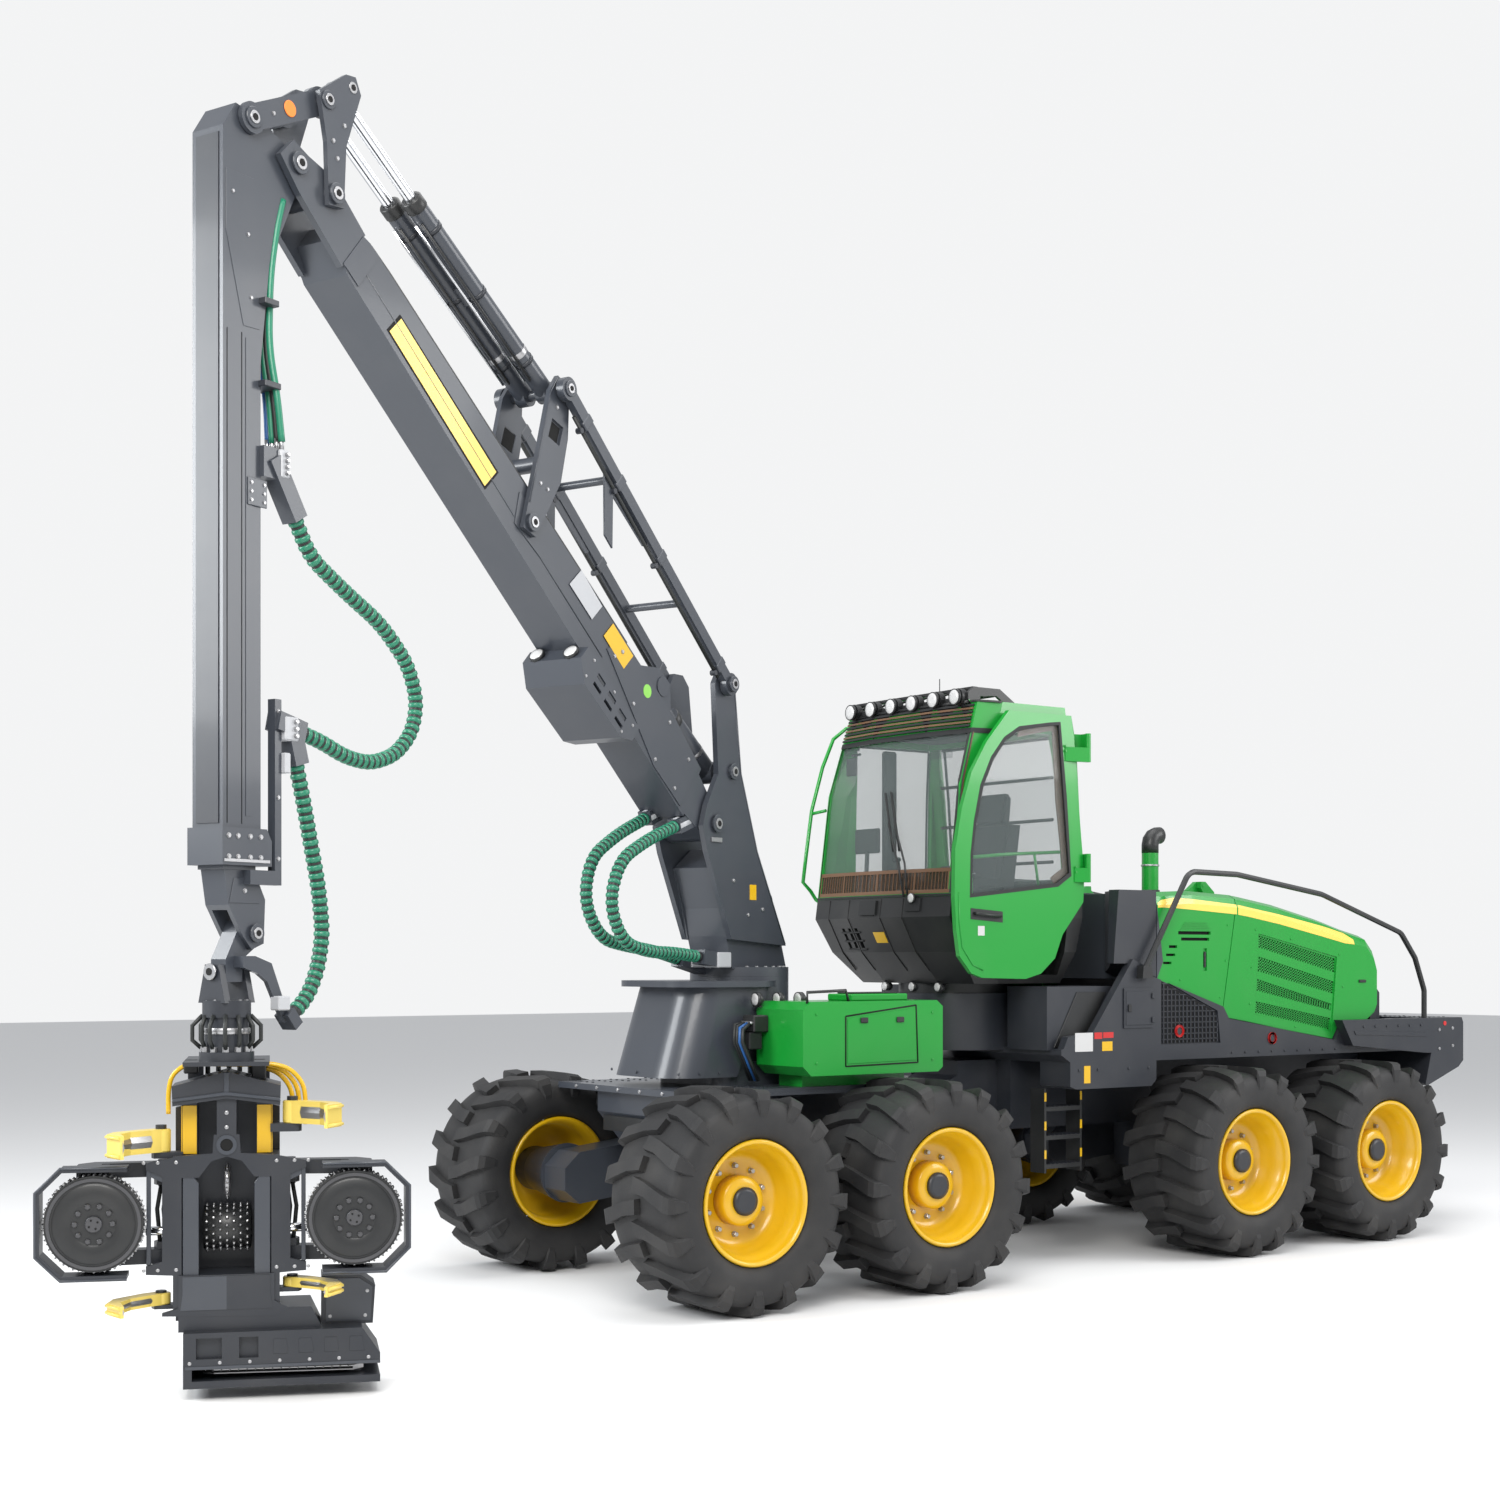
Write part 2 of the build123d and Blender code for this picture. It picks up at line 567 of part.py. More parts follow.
def lowered(stations, ends):
    # The stations of the hollow inside, open at the foot and longer than the cover at the ends given
    inner = [(x, low - 400, high) for x, low, high in stations]
    for end, reach in ends:
        x, low, high = inner[end]
        inner[end] = (x + reach, low, high)
    return inner


# Cowl with the exhaust stack, and the hood that tilts up at the seam
stack_x = cowl_line[0][0] - 448
hinge_half = 20.0
with BuildPart() as cowl:
    loft([shell_section(station, 0) for station in cowl_line], ruled=True)
    loft([shell_section(station, hood_wall) for station in lowered(cowl_line, ((0, -hood_wall), (-1, -50)))],
         ruled=True, mode=Mode.SUBTRACT)
    slab([(seam_x - 200, seam_top + 200), (seam_x + clear / 2, seam_top + 200), (seam_x + clear / 2, seam_top),
          (seam_foot[0] + clear / 2, seam_foot[1]),
          (seam_foot[0] + clear / 2, 1300), (seam_x - 200, 1300)], Plane.XZ, hood_half + 50, mode=Mode.SUBTRACT)
    for side in (-1, 1):
        flank = Plane.XZ.offset(-side * hood_half)
        for from_x, to_x, from_z, to_z in vents:
            slab([(from_x, from_z), (to_x, from_z), (to_x, to_z), (from_x, to_z)], flank, hood_wall + 10,
                 mode=Mode.SUBTRACT)
        # the sunk handle
        slab([(-4380, 2025), (-4340, 2025), (-4340, 2189), (-4380, 2189)], flank, 12, mode=Mode.SUBTRACT)
        slab([(seam_x + 130, seam_top - 10), (seam_x + 120, seam_top + 40), (seam_x + 26, hood_hinge_z + 26),
              (seam_x - 22, hood_hinge_z + 26),
              (seam_x - 26, hood_hinge_z - 20), (seam_x + 16, seam_top + 6), (seam_x + 30, seam_top - 10)],
              Plane.XZ.offset(-side * 580), hinge_half)
        disc((seam_x, hood_hinge_z), Plane.XZ.offset(-side * 602), 14, 42)
    with BuildSketch(Plane.XY.offset(cowl_line[0][2] - 60)) as stack:
        with Locations((stack_x, 480)):
            Circle(62)
    extrude(stack.sketch, amount=400)
cowl.part.label = "cowl"
keep(cowl.part)

with BuildPart() as hood:
    loft([shell_section(station, 0) for station in hood_line], ruled=True)
    loft([shell_section(station, hood_wall) for station in lowered(hood_line, ((0, 50), (-1, hood_wall)))],
         ruled=True, mode=Mode.SUBTRACT)
    slab([(seam_x + 300, seam_top + 200), (seam_x - clear / 2, seam_top + 200), (seam_x - clear / 2, seam_top),
          (seam_foot[0] - clear / 2, seam_foot[1]),
          (seam_foot[0] - clear / 2, 1300), (seam_x + 300, 1300)], Plane.XZ, hood_half + 50, mode=Mode.SUBTRACT)
    for side in (-1, 1):
        flank = Plane.XZ.offset(-side * hood_half)
        slab(mesh_window, flank, 9, mode=Mode.SUBTRACT)
        for front_high, rear_high, front_low, rear_low in mesh_rows:
            slab([front_high, rear_high, rear_low, front_low], flank, hood_wall + 10, mode=Mode.SUBTRACT)
        slab([(seam_x - 130, seam_top - 28), (seam_x - 120, seam_top + 30), (seam_x - 26, hood_hinge_z + 26),
              (seam_x + 22, hood_hinge_z + 26),
              (seam_x + 26, hood_hinge_z - 20), (seam_x - 16, seam_top + 2), (seam_x - 40, seam_top - 20)],
             Plane.XZ.offset(-side * (580 + 2 * hinge_half + run_gap)), hinge_half)
        disc((seam_x, hood_hinge_z), Plane.XZ.offset(-side * 640), 14 + run_gap, 80, mode=Mode.SUBTRACT)
hood.part.label = "hood"
keep(hood.part)

# Guard rails and ladder on the rear frame
rail_radius = 21.0
rail_y = shelf_half + 38
rail_foot = (-3680.0, cowl_low(-3680) + 20)
# the rail's bends as seen from the side
rail_points = (rail_foot, (-4126, 2740), (-4633, 2730), (-5578, 2602), (-6523, 2317), (-6700, 2120),
               (tail_x + 445, tail_top + 220), (tail_x + 445, tail_top))
with BuildPart() as guard_rails:
    for side in (-1, 1):
        y = side * rail_y
        with BuildLine() as rail_path:
            FilletPolyline(*[(x, y, z) for x, z in rail_points], radius=[120, 120, 300, 120, 80, 80])
        with BuildSketch(Plane(origin=rail_path.line @ 0, z_dir=rail_path.line % 0)) as rail_section:
            RegularPolygon(rail_radius, 8)
        sweep(rail_section.sketch, path=rail_path.line)
        slab([(rail_foot[0] - 60, rail_foot[1] - 70), (rail_foot[0] + 50, rail_foot[1] - 70),
              (rail_foot[0] + 40, rail_foot[1] + 20),
              (rail_foot[0] - 40, rail_foot[1] + 20)], Plane.XZ.offset(-side * (shelf_half + 30)),
              30 - run_gap / 2)
    for x in (-3300, -2958):
        block((x, x + 18), (650, 790), (620, 1210 - run_gap / 2))
    for step in range(3):
        block((-3300, -2940), (650, 790), (650 + step * 200, 680 + step * 200))
guard_rails.part.label = "guard_rails"
keep(guard_rails.part)

# Cab
# columns: height, then from the cab's axis the rear, the start of the bend, the corner and the nose, then half the width
tub_rings = (
    (cab_floor - 60, -430, 150, 350, 400, cab_half - 135),
    (cab_floor, -446, 205, 407, 457, cab_half - 108),
    (cab_floor + 160, -490, 350, 560, 610, cab_half - 35),
    (cab_floor + 400, cab_rear, 450, 690, 740, cab_half),
    (cab_sill, cab_rear, 450, corner_front[0], corner_front[0] + 50, cab_half),
)
cab_rings = (
    tub_rings[-1],
    (cab_middle, cab_rear + 62, 380, corner_front[1], corner_front[1] + 55, cab_half - lean[1]),
    (cab_roof, cab_rear + 130, 200, corner_front[2], corner_front[2] + 55, cab_half - lean[2]),
)


def cab_section(ring, inset):
    # A level section of the cab, moved inwards by a length
    z, rear, bend, corner, nose, half = ring
    half -= inset
    side_points = [(rear + inset, half), (bend, half), (corner - inset, half - 30), (nose - inset, 300)]
    with BuildSketch(Plane.XY.offset(z)) as level:
        Polygon(*[(cab_x + x, y) for x, y in side_points], *[(cab_x + x, -y) for x, y in side_points[::-1]],
                align=None)
    return level.sketch.face()


with BuildPart() as cab_base:
    loft([cab_section(ring, 0) for ring in tub_rings], ruled=True)
    loft([cab_section(ring, cab_wall) for ring in tub_rings[1:]], ruled=True, mode=Mode.SUBTRACT)
    # the doorway on the left, and slots in the front
    block((cab_x + doorway_rear, cab_x + 330), (400, 1000), (cab_floor, cab_sill + 10), mode=Mode.SUBTRACT)
    for y in (-420, -340, -260):
        block((cab_x + 300, cab_x + 900), (y - 18, y + 18), (cab_floor + 190, cab_floor + 330),
              mode=Mode.SUBTRACT)
    with BuildSketch(Plane.XY.offset(cab_floor - 130)) as slew_ring:
        with Locations((cab_x, 0)):
            Circle(400)
    extrude(slew_ring.sketch, amount=80)
cab_base.part.label = "cab_base"
keep(cab_base.part)

rack_low = cab_roof + 5
with BuildPart() as cab_frame:
    loft([cab_section(ring, 0) for ring in cab_rings], ruled=True)
    inner_top = (cab_roof - 110,) + cab_rings[2][1:]
    loft([cab_section(cab_rings[0], cab_wall), cab_section(cab_rings[1], cab_wall), cab_section(inner_top,
            cab_wall + 5)], ruled=True, mode=Mode.SUBTRACT)
    # windows: front, right side, rear; doorway on the left
    for x, y, z in windows:
        block(x, y, z, mode=Mode.SUBTRACT)
    slab([(cab_x + x, z) for x, z in ((doorway_rear, cab_sill - 10), (doorway_rear + 40, cab_middle),
                                      (doorway_rear + 110, cab_roof - 200),
          (130, cab_roof - 200), (270, cab_roof - 330), (400, cab_middle + 100), (460, cab_middle - 100),
          (doorway_front, cab_sill + 200),
          (doorway_front, cab_sill - 10))], Plane.XZ.offset(-700), 300, mode=Mode.SUBTRACT)
    # the body's halves of the door hinges, above the door's halves
    for z, rear, side_y in zip(door_hinges, (cab_rear + 17, cab_rear + 95), (cab_half - 4, cab_half - 27)):
        with BuildSketch(Plane.XY.offset(z + hinge_tall + run_gap)) as body_knuckle:
            with Locations((hinge_x, hinge_y)):
                Circle(hinge_radius)
            Polygon((hinge_x - 20, hinge_y), (hinge_x + 4, hinge_y), (hinge_x + 4, cab_half + 8),
                    (cab_x + rear + 35, side_y - 5),
                    (cab_x + rear + 35, side_y - 35), (hinge_x - 20, cab_half - 35), align=None)
        extrude(body_knuckle.sketch, amount=hinge_tall)
    # the roof's lamp rack
    for y in (-640, 640):
        slab([(cab_x + x, cab_roof + z) for x, z in ((-20, -5), (150, 100), (390, 100), (440, 60), (440, 10),
                                                     (400, -30), (330, -30), (330, 40), (180, 50), (90, -5))],
             Plane.XZ.offset(-y), 12)
    block((cab_x + 345, cab_x + 390), (-640, 640), (cab_roof + 80, cab_roof + 104))
    block((cab_x + 400, cab_x + 440), (-640, 640), (rack_low, rack_low + 30))
    for y in (-575, -345, -115, 115, 345, 575):
        disc((y, cab_roof + 30), Plane.YZ.offset(cab_x + 450), 58, 24)
cab_frame.part.label = "cab_frame"
keep(cab_frame.part)

door_middle = Plane.XZ.offset(-sum(door_skin) / 2)
with BuildPart() as door:
    slab([(cab_x + x, z) for x, z in door_outline], door_middle, (door_skin[1] - door_skin[0]) / 2)
    slab([(cab_x + x, z) for x, z in door_window], door_middle, 100, mode=Mode.SUBTRACT)
    for z, edge in zip(door_hinges, (-489, -400)):
        with BuildSketch(Plane.XY.offset(z)) as door_knuckle:
            with Locations((hinge_x, hinge_y)):
                Circle(hinge_radius)
            Polygon((hinge_x, hinge_y + hinge_radius), (hinge_x, hinge_y - hinge_radius), (cab_x + edge + 15,
                    door_skin[1] - 8),
                    (cab_x + edge + 90, door_skin[1] - 8), (cab_x + edge + 90, door_skin[1] + 6), align=None)
        extrude(door_knuckle.sketch, amount=hinge_tall)
door.part.label = "door"
keep(door.part)

with BuildPart() as door_glass:
    slab([(cab_x + x, z) for x, z in door_window], Plane.XZ.offset(-(door_skin[0] + 14)), glass_thick / 2)
door_glass.part.label = "door_glass"
keep(door_glass.part)

with BuildPart() as cab_glass:
    for depth, mode in ((12.0, Mode.ADD), (12.0 + glass_thick, Mode.SUBTRACT)):
        loft([cab_section(ring, depth) for ring in cab_rings], ruled=True, mode=mode)
    panes = [Pos(sum(x) / 2, sum(y) / 2, sum(z) / 2) * Box(x[1] - x[0], y[1] - y[0], z[1] - z[0],
                                                           mode=Mode.PRIVATE) for x, y, z in windows]
    add(panes, mode=Mode.INTERSECT)
cab_glass.part.label = "cab_glass"
keep(cab_glass.part)

seat_x = cab_x + 75
with BuildPart() as seat:
    with BuildSketch(Plane.XY.offset(cab_floor)) as seat_post:
        with Locations((seat_x - 100, 0)):
            Circle(140)
    extrude(seat_post.sketch, amount=380)
    slab([(seat_x - 380, 2380), (seat_x + 180, 2380), (seat_x + 200, 2500), (seat_x - 240, 2510),
          (seat_x - 380, 3080), (seat_x - 480, 3080)], Plane.XZ, 260)
    block((seat_x - 330, seat_x - 180), (-380, 380), (2430, 2480))
    for side in (-1, 1):
        block((seat_x - 250, seat_x + 220), (side * 330 - 60, side * 330 + 60), (2620, 2680))
        block((seat_x - 300, seat_x - 220), (side * 330 - 40, side * 330 + 40), (2440, 2640))
seat.part.label = "seat"
keep(seat.part)

# Crane column
column_half = 150.0
with BuildPart() as column:
    with BuildSketch(Plane.XY.offset(column_low)) as turntable:
        with Locations((slew_x, 0)):
            Circle(seat_radius)
    extrude(turntable.sketch, amount=60)
    slab([(-360, column_low + 50), (322, column_low + 50), (400, 2260), (450, 2440), (560, 2700), (360, 2830),
          (100, 2830), (-175, 2528)], crane, column_half)
    for side in (-1, 1):
        plate_plane = crane.offset(side * (fork_half - fork_plate / 2))
        slab([(-280, 2200), (400, 2240), (688, 2795), (740, 2960), (690, 3100), (560, 3300), (600, 3880), (540,
                3970), (440, 3970),
              (370, 3900), (290, 3330), (90, 2830)], plate_plane, fork_plate / 2)
        slab([(-280, 2200), (400, 2240), (560, 2700), (100, 2830)], crane.offset(side * (column_half + 5)), 12)
    disc(lift_pin, crane, pin_radius, fork_half + 14)
    disc(lift_foot, crane, pin_radius, fork_half + 14)
    for side in (-1, 1):
        disc(link_foot, crane.offset(side * (fork_half - fork_plate + link_far + 14) / 2), pin_radius,
             (link_far + 14 - fork_half + fork_plate) / 2)
    for name, offset, points in hoses[:2]:
        fitting(points[::-1], offset, 290)
column.part.label = "column"
keep(column.part)

# Main boom
boom_length = hypot(jib_pin[0] - lift_pin[0], jib_pin[1] - lift_pin[1])


def on_boom(distance, side):
    # A point along the line from the boom's foot pin to the jib's pin
    return along(lift_pin, jib_pin, distance, side)


box_half = 215.0
with BuildPart() as main_boom:
    slab([on_boom(260, -170), on_boom(boom_length - 557, -130), on_boom(boom_length - 387, -60),
          on_boom(boom_length - 387, 90),
          on_boom(boom_length - 557, 140), on_boom(700, 240), on_boom(300, 200)], crane, boom_half)
    slab([on_boom(0, -110), on_boom(320, -160), on_boom(320, 160), on_boom(0, 110)], crane, boom_half)
    disc(lift_pin, crane, 110, boom_half)
    # the pocket that the lift cylinder lies in
    slab([on_boom(180, 150), on_boom(1330, 190), on_boom(1330, 300), on_boom(180, 300)], crane, 79,
         mode=Mode.SUBTRACT)
    for side in (-1, 1):
        # ears for the jib, the lever and the lift cylinder
        ear = crane.offset(side * (boom_half - 18))
        slab([on_boom(boom_length - 507, -130), on_boom(boom_length - 87, -105), on_boom(boom_length + 103,
                -70), on_boom(boom_length + 93, 60),
              on_boom(boom_length - 17, 90), on_boom(boom_length - 187, 160), on_boom(boom_length - 507, 140)],
              ear, 18)
        slab([on_boom(640, 180), on_boom(1250, 180), on_boom(1000, 400), on_boom(850, 410)],
             crane.offset(side * 95), 15)
        # the bosses of the lift cylinder's pin, which its rod's eye sits between
        disc(lift_eye, crane.offset(side * 98), 62, 20)
        # doubling plates on the flanks
        flank = crane.offset(side * boom_half)
        slab([on_boom(330, -150), on_boom(700, -158), on_boom(1090, -60), on_boom(1500, 40), on_boom(1420,
                190), on_boom(720, 225), on_boom(330, 190)], flank, 6)
        slab([on_boom(2270, -30), on_boom(2560, -60), on_boom(2640, 110), on_boom(2330, 150)], flank, 5)
        slab([on_boom(boom_length - 640, -110), on_boom(boom_length - 500, -112), on_boom(boom_length - 500,
                120), on_boom(boom_length - 640, 125)], flank, 5)
    # the lamp box under the boom
    slab([on_boom(1020, -150), on_boom(1590, -135), on_boom(1690, -150), on_boom(1700, -250), on_boom(1580,
            -345), on_boom(1120, -330), on_boom(1020, -260)],
         crane, box_half)
    slab([on_boom(1060, -120), on_boom(1580, -100), on_boom(1560, -318), on_boom(1130, -305), on_boom(1060,
            -250)], crane, box_half - 12, mode=Mode.SUBTRACT)
    for from_x, to_x, low, high in ((1150, 1240, -230, -200), (1290, 1380, -226, -196), (1430, 1520, -222,
            -192),
                                    (1150, 1240, -290, -265), (1290, 1380, -288, -263), (1430, 1520, -286,
                                            -261)):
        slab([on_boom(from_x, low), on_boom(to_x, low), on_boom(to_x, high), on_boom(from_x, high)], crane,
             box_half + 50, mode=Mode.SUBTRACT)
    slab([on_boom(1020, -170), on_boom(1700, -140), on_boom(1700, -90), on_boom(1020, -120)], crane, boom_half)
    disc(lift_pin, crane, pin_radius + run_gap, boom_half + 10, mode=Mode.SUBTRACT)
    disc(jib_pin, crane, pin_radius, boom_half + 10)
    disc(lever_pin, crane, pin_radius, boom_half + clear + 40)
    disc(rocker_pin, crane, pin_radius, boom_half + clear + 40)
    for name, offset, points in hoses[:2]:
        fitting(points, offset, 170)
main_boom.part.label = "main_boom"
keep(main_boom.part)

# Lift cylinder, drawn along its own axis from its foot
lift_length = hypot(lift_eye[0] - lift_foot[0], lift_eye[1] - lift_foot[1])
lift_dir = Vector((lift_eye[0] - lift_foot[0]) / lift_length * slew_cos,
                  (lift_eye[0] - lift_foot[0]) / lift_length * slew_sin,
                  (lift_eye[1] - lift_foot[1]) / lift_length)
barrel_length = 560.0
lift_rod_length = 525.0
lift_rod_radius = 40.0


def axis_plane(point, direction, distance):
    # A plane square to a cylinder's axis, at a distance from a point of the crane's plane
    world = crane.from_local_coords((point[0], point[1], 0))
    return Plane(origin=Vector(*world) + direction * distance, z_dir=direction)


with BuildPart() as lift_cylinder:
    with BuildSketch(axis_plane(lift_foot, lift_dir, 30)) as barrel_section:
        Circle(68)
    extrude(barrel_section.sketch, amount=barrel_length - 30)
    disc(lift_foot, crane, 72, 75)
    with BuildSketch(axis_plane(lift_foot, lift_dir, 66)) as bore_section:
        Circle(lift_rod_radius + run_gap)
    extrude(bore_section.sketch, amount=barrel_length, mode=Mode.SUBTRACT)
    disc(lift_foot, crane, pin_radius + run_gap, 100, mode=Mode.SUBTRACT)
lift_cylinder.part.label = "lift_cylinder"
keep(lift_cylinder.part)

with BuildPart() as lift_rod:
    with BuildSketch(axis_plane(lift_foot, lift_dir, lift_length - lift_rod_length)) as rod_section:
        Circle(lift_rod_radius)
    extrude(rod_section.sketch, amount=lift_rod_length)
    disc(lift_eye, crane, 62, 72)
lift_rod.part.label = "lift_rod"
keep(lift_rod.part)

# Lower links, rocker, jib cylinders
with BuildPart() as lower_links:
    for side in (-1, 1):
        link_plane = crane.offset(side * (link_near + link_far) / 2)
        slab(bar(link_foot, rocker_top, 38, 38), link_plane, (link_far - link_near) / 2)
        disc(link_foot, link_plane, 72, (link_far - link_near) / 2)
        disc(rocker_top, link_plane, 68, (link_far - link_near) / 2)
        # the hose bracket on the lower rod
        slab([along(link_foot, rocker_top, 1180, -30), along(link_foot, rocker_top, 1740, -30),
              along(link_foot, rocker_top, 1740, -60),
              along(link_foot, rocker_top, 1500, -330), along(link_foot, rocker_top, 1400, -330),
              along(link_foot, rocker_top, 1600, -90),
              along(link_foot, rocker_top, 1200, -70)], crane.offset(side * (link_near + 12)), 6)
    for share in (0.3, 0.72):
        cross = (link_foot[0] + (rocker_top[0] - link_foot[0]) * share,
                 link_foot[1] + (rocker_top[1] - link_foot[1]) * share)
        disc(cross, crane, 24, link_near + 5)
    disc(link_foot, crane, pin_radius + run_gap, 300, mode=Mode.SUBTRACT)
lower_links.part.label = "lower_links"
keep(lower_links.part)

with BuildPart() as rocker:
    for side in (-1, 1):
        rocker_plane = crane.offset(side * (boom_half + clear + 14))
        slab([along(rocker_pin, rocker_top, -60, -60), along(rocker_pin, rocker_top, -60, 60),
              along(rocker_pin, rocker_top, 350, 170), along(rocker_pin, rocker_top, 620, 150),
              along(rocker_pin, rocker_top, 910, 70), along(rocker_pin, rocker_top, 920, -50),
              along(rocker_pin, rocker_top, 800, -90), along(rocker_pin, rocker_top, 350, -70)],
             rocker_plane, 14)
        slab([along(rocker_pin, rocker_top, 540, -20), along(rocker_pin, rocker_top, 540, 90),
              along(rocker_pin, rocker_top, 660, 90), along(rocker_pin, rocker_top, 660, -20)],
             rocker_plane, 20, mode=Mode.SUBTRACT)
        disc(rocker_pin, rocker_plane, pin_radius + run_gap, 30, mode=Mode.SUBTRACT)
    disc(along(rocker_pin, rocker_top, 420, 60), crane, 45, boom_half + clear)
    disc(rocker_top, crane, 34, link_near - 5)
rocker.part.label = "rocker"
keep(rocker.part)

jib_link_length = hypot(lever_rod[0] - rocker_top[0], lever_rod[1] - rocker_top[1])
cylinder_dir = Vector((lever_rod[0] - rocker_top[0]) / jib_link_length * slew_cos,
                      (lever_rod[0] - rocker_top[0]) / jib_link_length * slew_sin,
                      (lever_rod[1] - rocker_top[1]) / jib_link_length)
jib_cylinder_offset = 76.0
jib_barrel_length = 1400.0
with BuildPart() as jib_cylinders:
    for side in (-1, 1):
        start = Vector(*crane.from_local_coords((rocker_top[0], rocker_top[1], side * jib_cylinder_offset)))
        with BuildSketch(Plane(origin=start + cylinder_dir * 20, z_dir=cylinder_dir)) as barrel_section:
            Circle(56)
        extrude(barrel_section.sketch, amount=jib_barrel_length - 20)
        disc(rocker_top, crane.offset(side * jib_cylinder_offset), 60, 36)
        with BuildSketch(Plane(origin=start + cylinder_dir * 90, z_dir=cylinder_dir)) as bore_section:
            Circle(32 + run_gap)
        extrude(bore_section.sketch, amount=jib_barrel_length, mode=Mode.SUBTRACT)
    disc(rocker_top, crane, 34 + run_gap, 300, mode=Mode.SUBTRACT)
    slab(bar(along(rocker_top, lever_rod, 700), along(rocker_top, lever_rod, 820), 30, 30), crane,
         jib_cylinder_offset - 38)
jib_cylinders.part.label = "jib_cylinders"
keep(jib_cylinders.part)

with BuildPart() as jib_rods:
    for side in (-1, 1):
        start = Vector(*crane.from_local_coords((rocker_top[0], rocker_top[1], side * jib_cylinder_offset)))
        with BuildSketch(Plane(origin=start + cylinder_dir * (jib_link_length - 1300),
                               z_dir=cylinder_dir)) as rod_section:
            Circle(32)
        extrude(rod_section.sketch, amount=1300)
        disc(lever_rod, crane.offset(side * jib_cylinder_offset), 56, 30)
    disc(lever_rod, crane, 30, jib_cylinder_offset)
jib_rods.part.label = "jib_rods"
keep(jib_rods.part)

# Knuckle: lever on the boom and link to the jib
lever_height = hypot(lever_top[0] - lever_pin[0], lever_top[1] - lever_pin[1])
with BuildPart() as lever:
    for side in (-1, 1):
        lever_plane = crane.offset(side * (boom_half + clear + 14))
        slab([along(lever_pin, lever_top, -60, -50), along(lever_pin, lever_top, -60, 60), along(lever_pin,
                lever_top, lever_height * 0.55, 110), (lever_rod[0] - 60, lever_rod[1] - 20),
              (lever_rod[0] - 20, lever_rod[1] + 60), (lever_rod[0] + 50, lever_rod[1] + 50),
              (lever_top[0] + 60, lever_top[1] + 30), along(lever_pin, lever_top, lever_height * 0.55, -30)],
             lever_plane, 14)
        disc(lever_pin, lever_plane, pin_radius + run_gap, 30, mode=Mode.SUBTRACT)
    disc(lever_top, crane, 30, boom_half + clear + 28)
    for side in (-1, 1):
        disc(lever_rod, crane.offset(side * (boom_half + clear)), 30, 16)
lever.part.label = "lever"
keep(lever.part)

with BuildPart() as jib_link:
    for side in (-1, 1):
        slab(bar(lever_top, jib_eye, 62, 62), crane.offset(side * (jib_half + clear + 12)), 12)
        disc(lever_top, crane.offset(side * (jib_half + clear + 12)), 75, 12)
        disc(jib_eye, crane.offset(side * (jib_half + clear + 12)), 75, 12)
    disc(along(lever_top, jib_eye, 260), crane, 34, jib_half + clear)
    disc(lever_top, crane, 30 + run_gap, 300, mode=Mode.SUBTRACT)
jib_link.part.label = "jib_link"
keep(jib_link.part)

# Jib with its collar, and the extension inside it
jib_out = jib_axis + jib_depth / 2
jib_in = jib_axis - jib_depth / 2
pad = 5.0
with BuildPart() as jib:
    slab([(jib_in, jib_low), (jib_out, jib_low), (jib_out, 6080), (jib_axis + 40, 6210), (jib_in - 20, 6180),
          (jib_pin[0] - 70, 6060), (jib_pin[0] - 60, 5960),
          (jib_in - 60, 5500), (jib_in, 5000)], crane, jib_half)
    slab([(jib_in - 27, jib_low), (jib_out + 18, jib_low), (jib_out + 18, jib_low - 180), (jib_in - 60,
            jib_low - 180), (jib_in - 60, jib_low - 60)], crane, jib_half + 16)
    slab([(jib_in + jib_wall, jib_low - 10), (jib_out - jib_wall, jib_low - 10), (jib_out - jib_wall, 5900),
          (jib_in + jib_wall, 5900)], crane, jib_half - jib_wall, mode=Mode.SUBTRACT)
    slab([(jib_in + jib_wall + pad - run_gap, jib_low - 200), (jib_out - jib_wall - pad + run_gap,
            jib_low - 200), (jib_out - jib_wall - pad + run_gap, jib_low),
          (jib_in + jib_wall + pad - run_gap, jib_low)], crane, jib_half - jib_wall - pad + run_gap,
          mode=Mode.SUBTRACT)
    disc(jib_pin, crane, pin_radius + run_gap, 300, mode=Mode.SUBTRACT)
    # strips along the flanks
    for side in (-1, 1):
        slab([(jib_in + 60, jib_low + 60), (jib_in + 100, jib_low + 60), (jib_in + 100, 5100), (jib_in + 60,
                5100)],
             crane.offset(side * jib_half), 3)
    # the upper manifold on the jib's rear face
    fitting(hoses[2][2], hoses[2][1], 320)
    slab([(4420, 4450), (jib_in + 6, 4450), (jib_in + 6, 4600), (4420, 4600)], crane.offset(-hose_off * 0.8),
         50)
jib.part.label = "jib"
keep(jib.part)

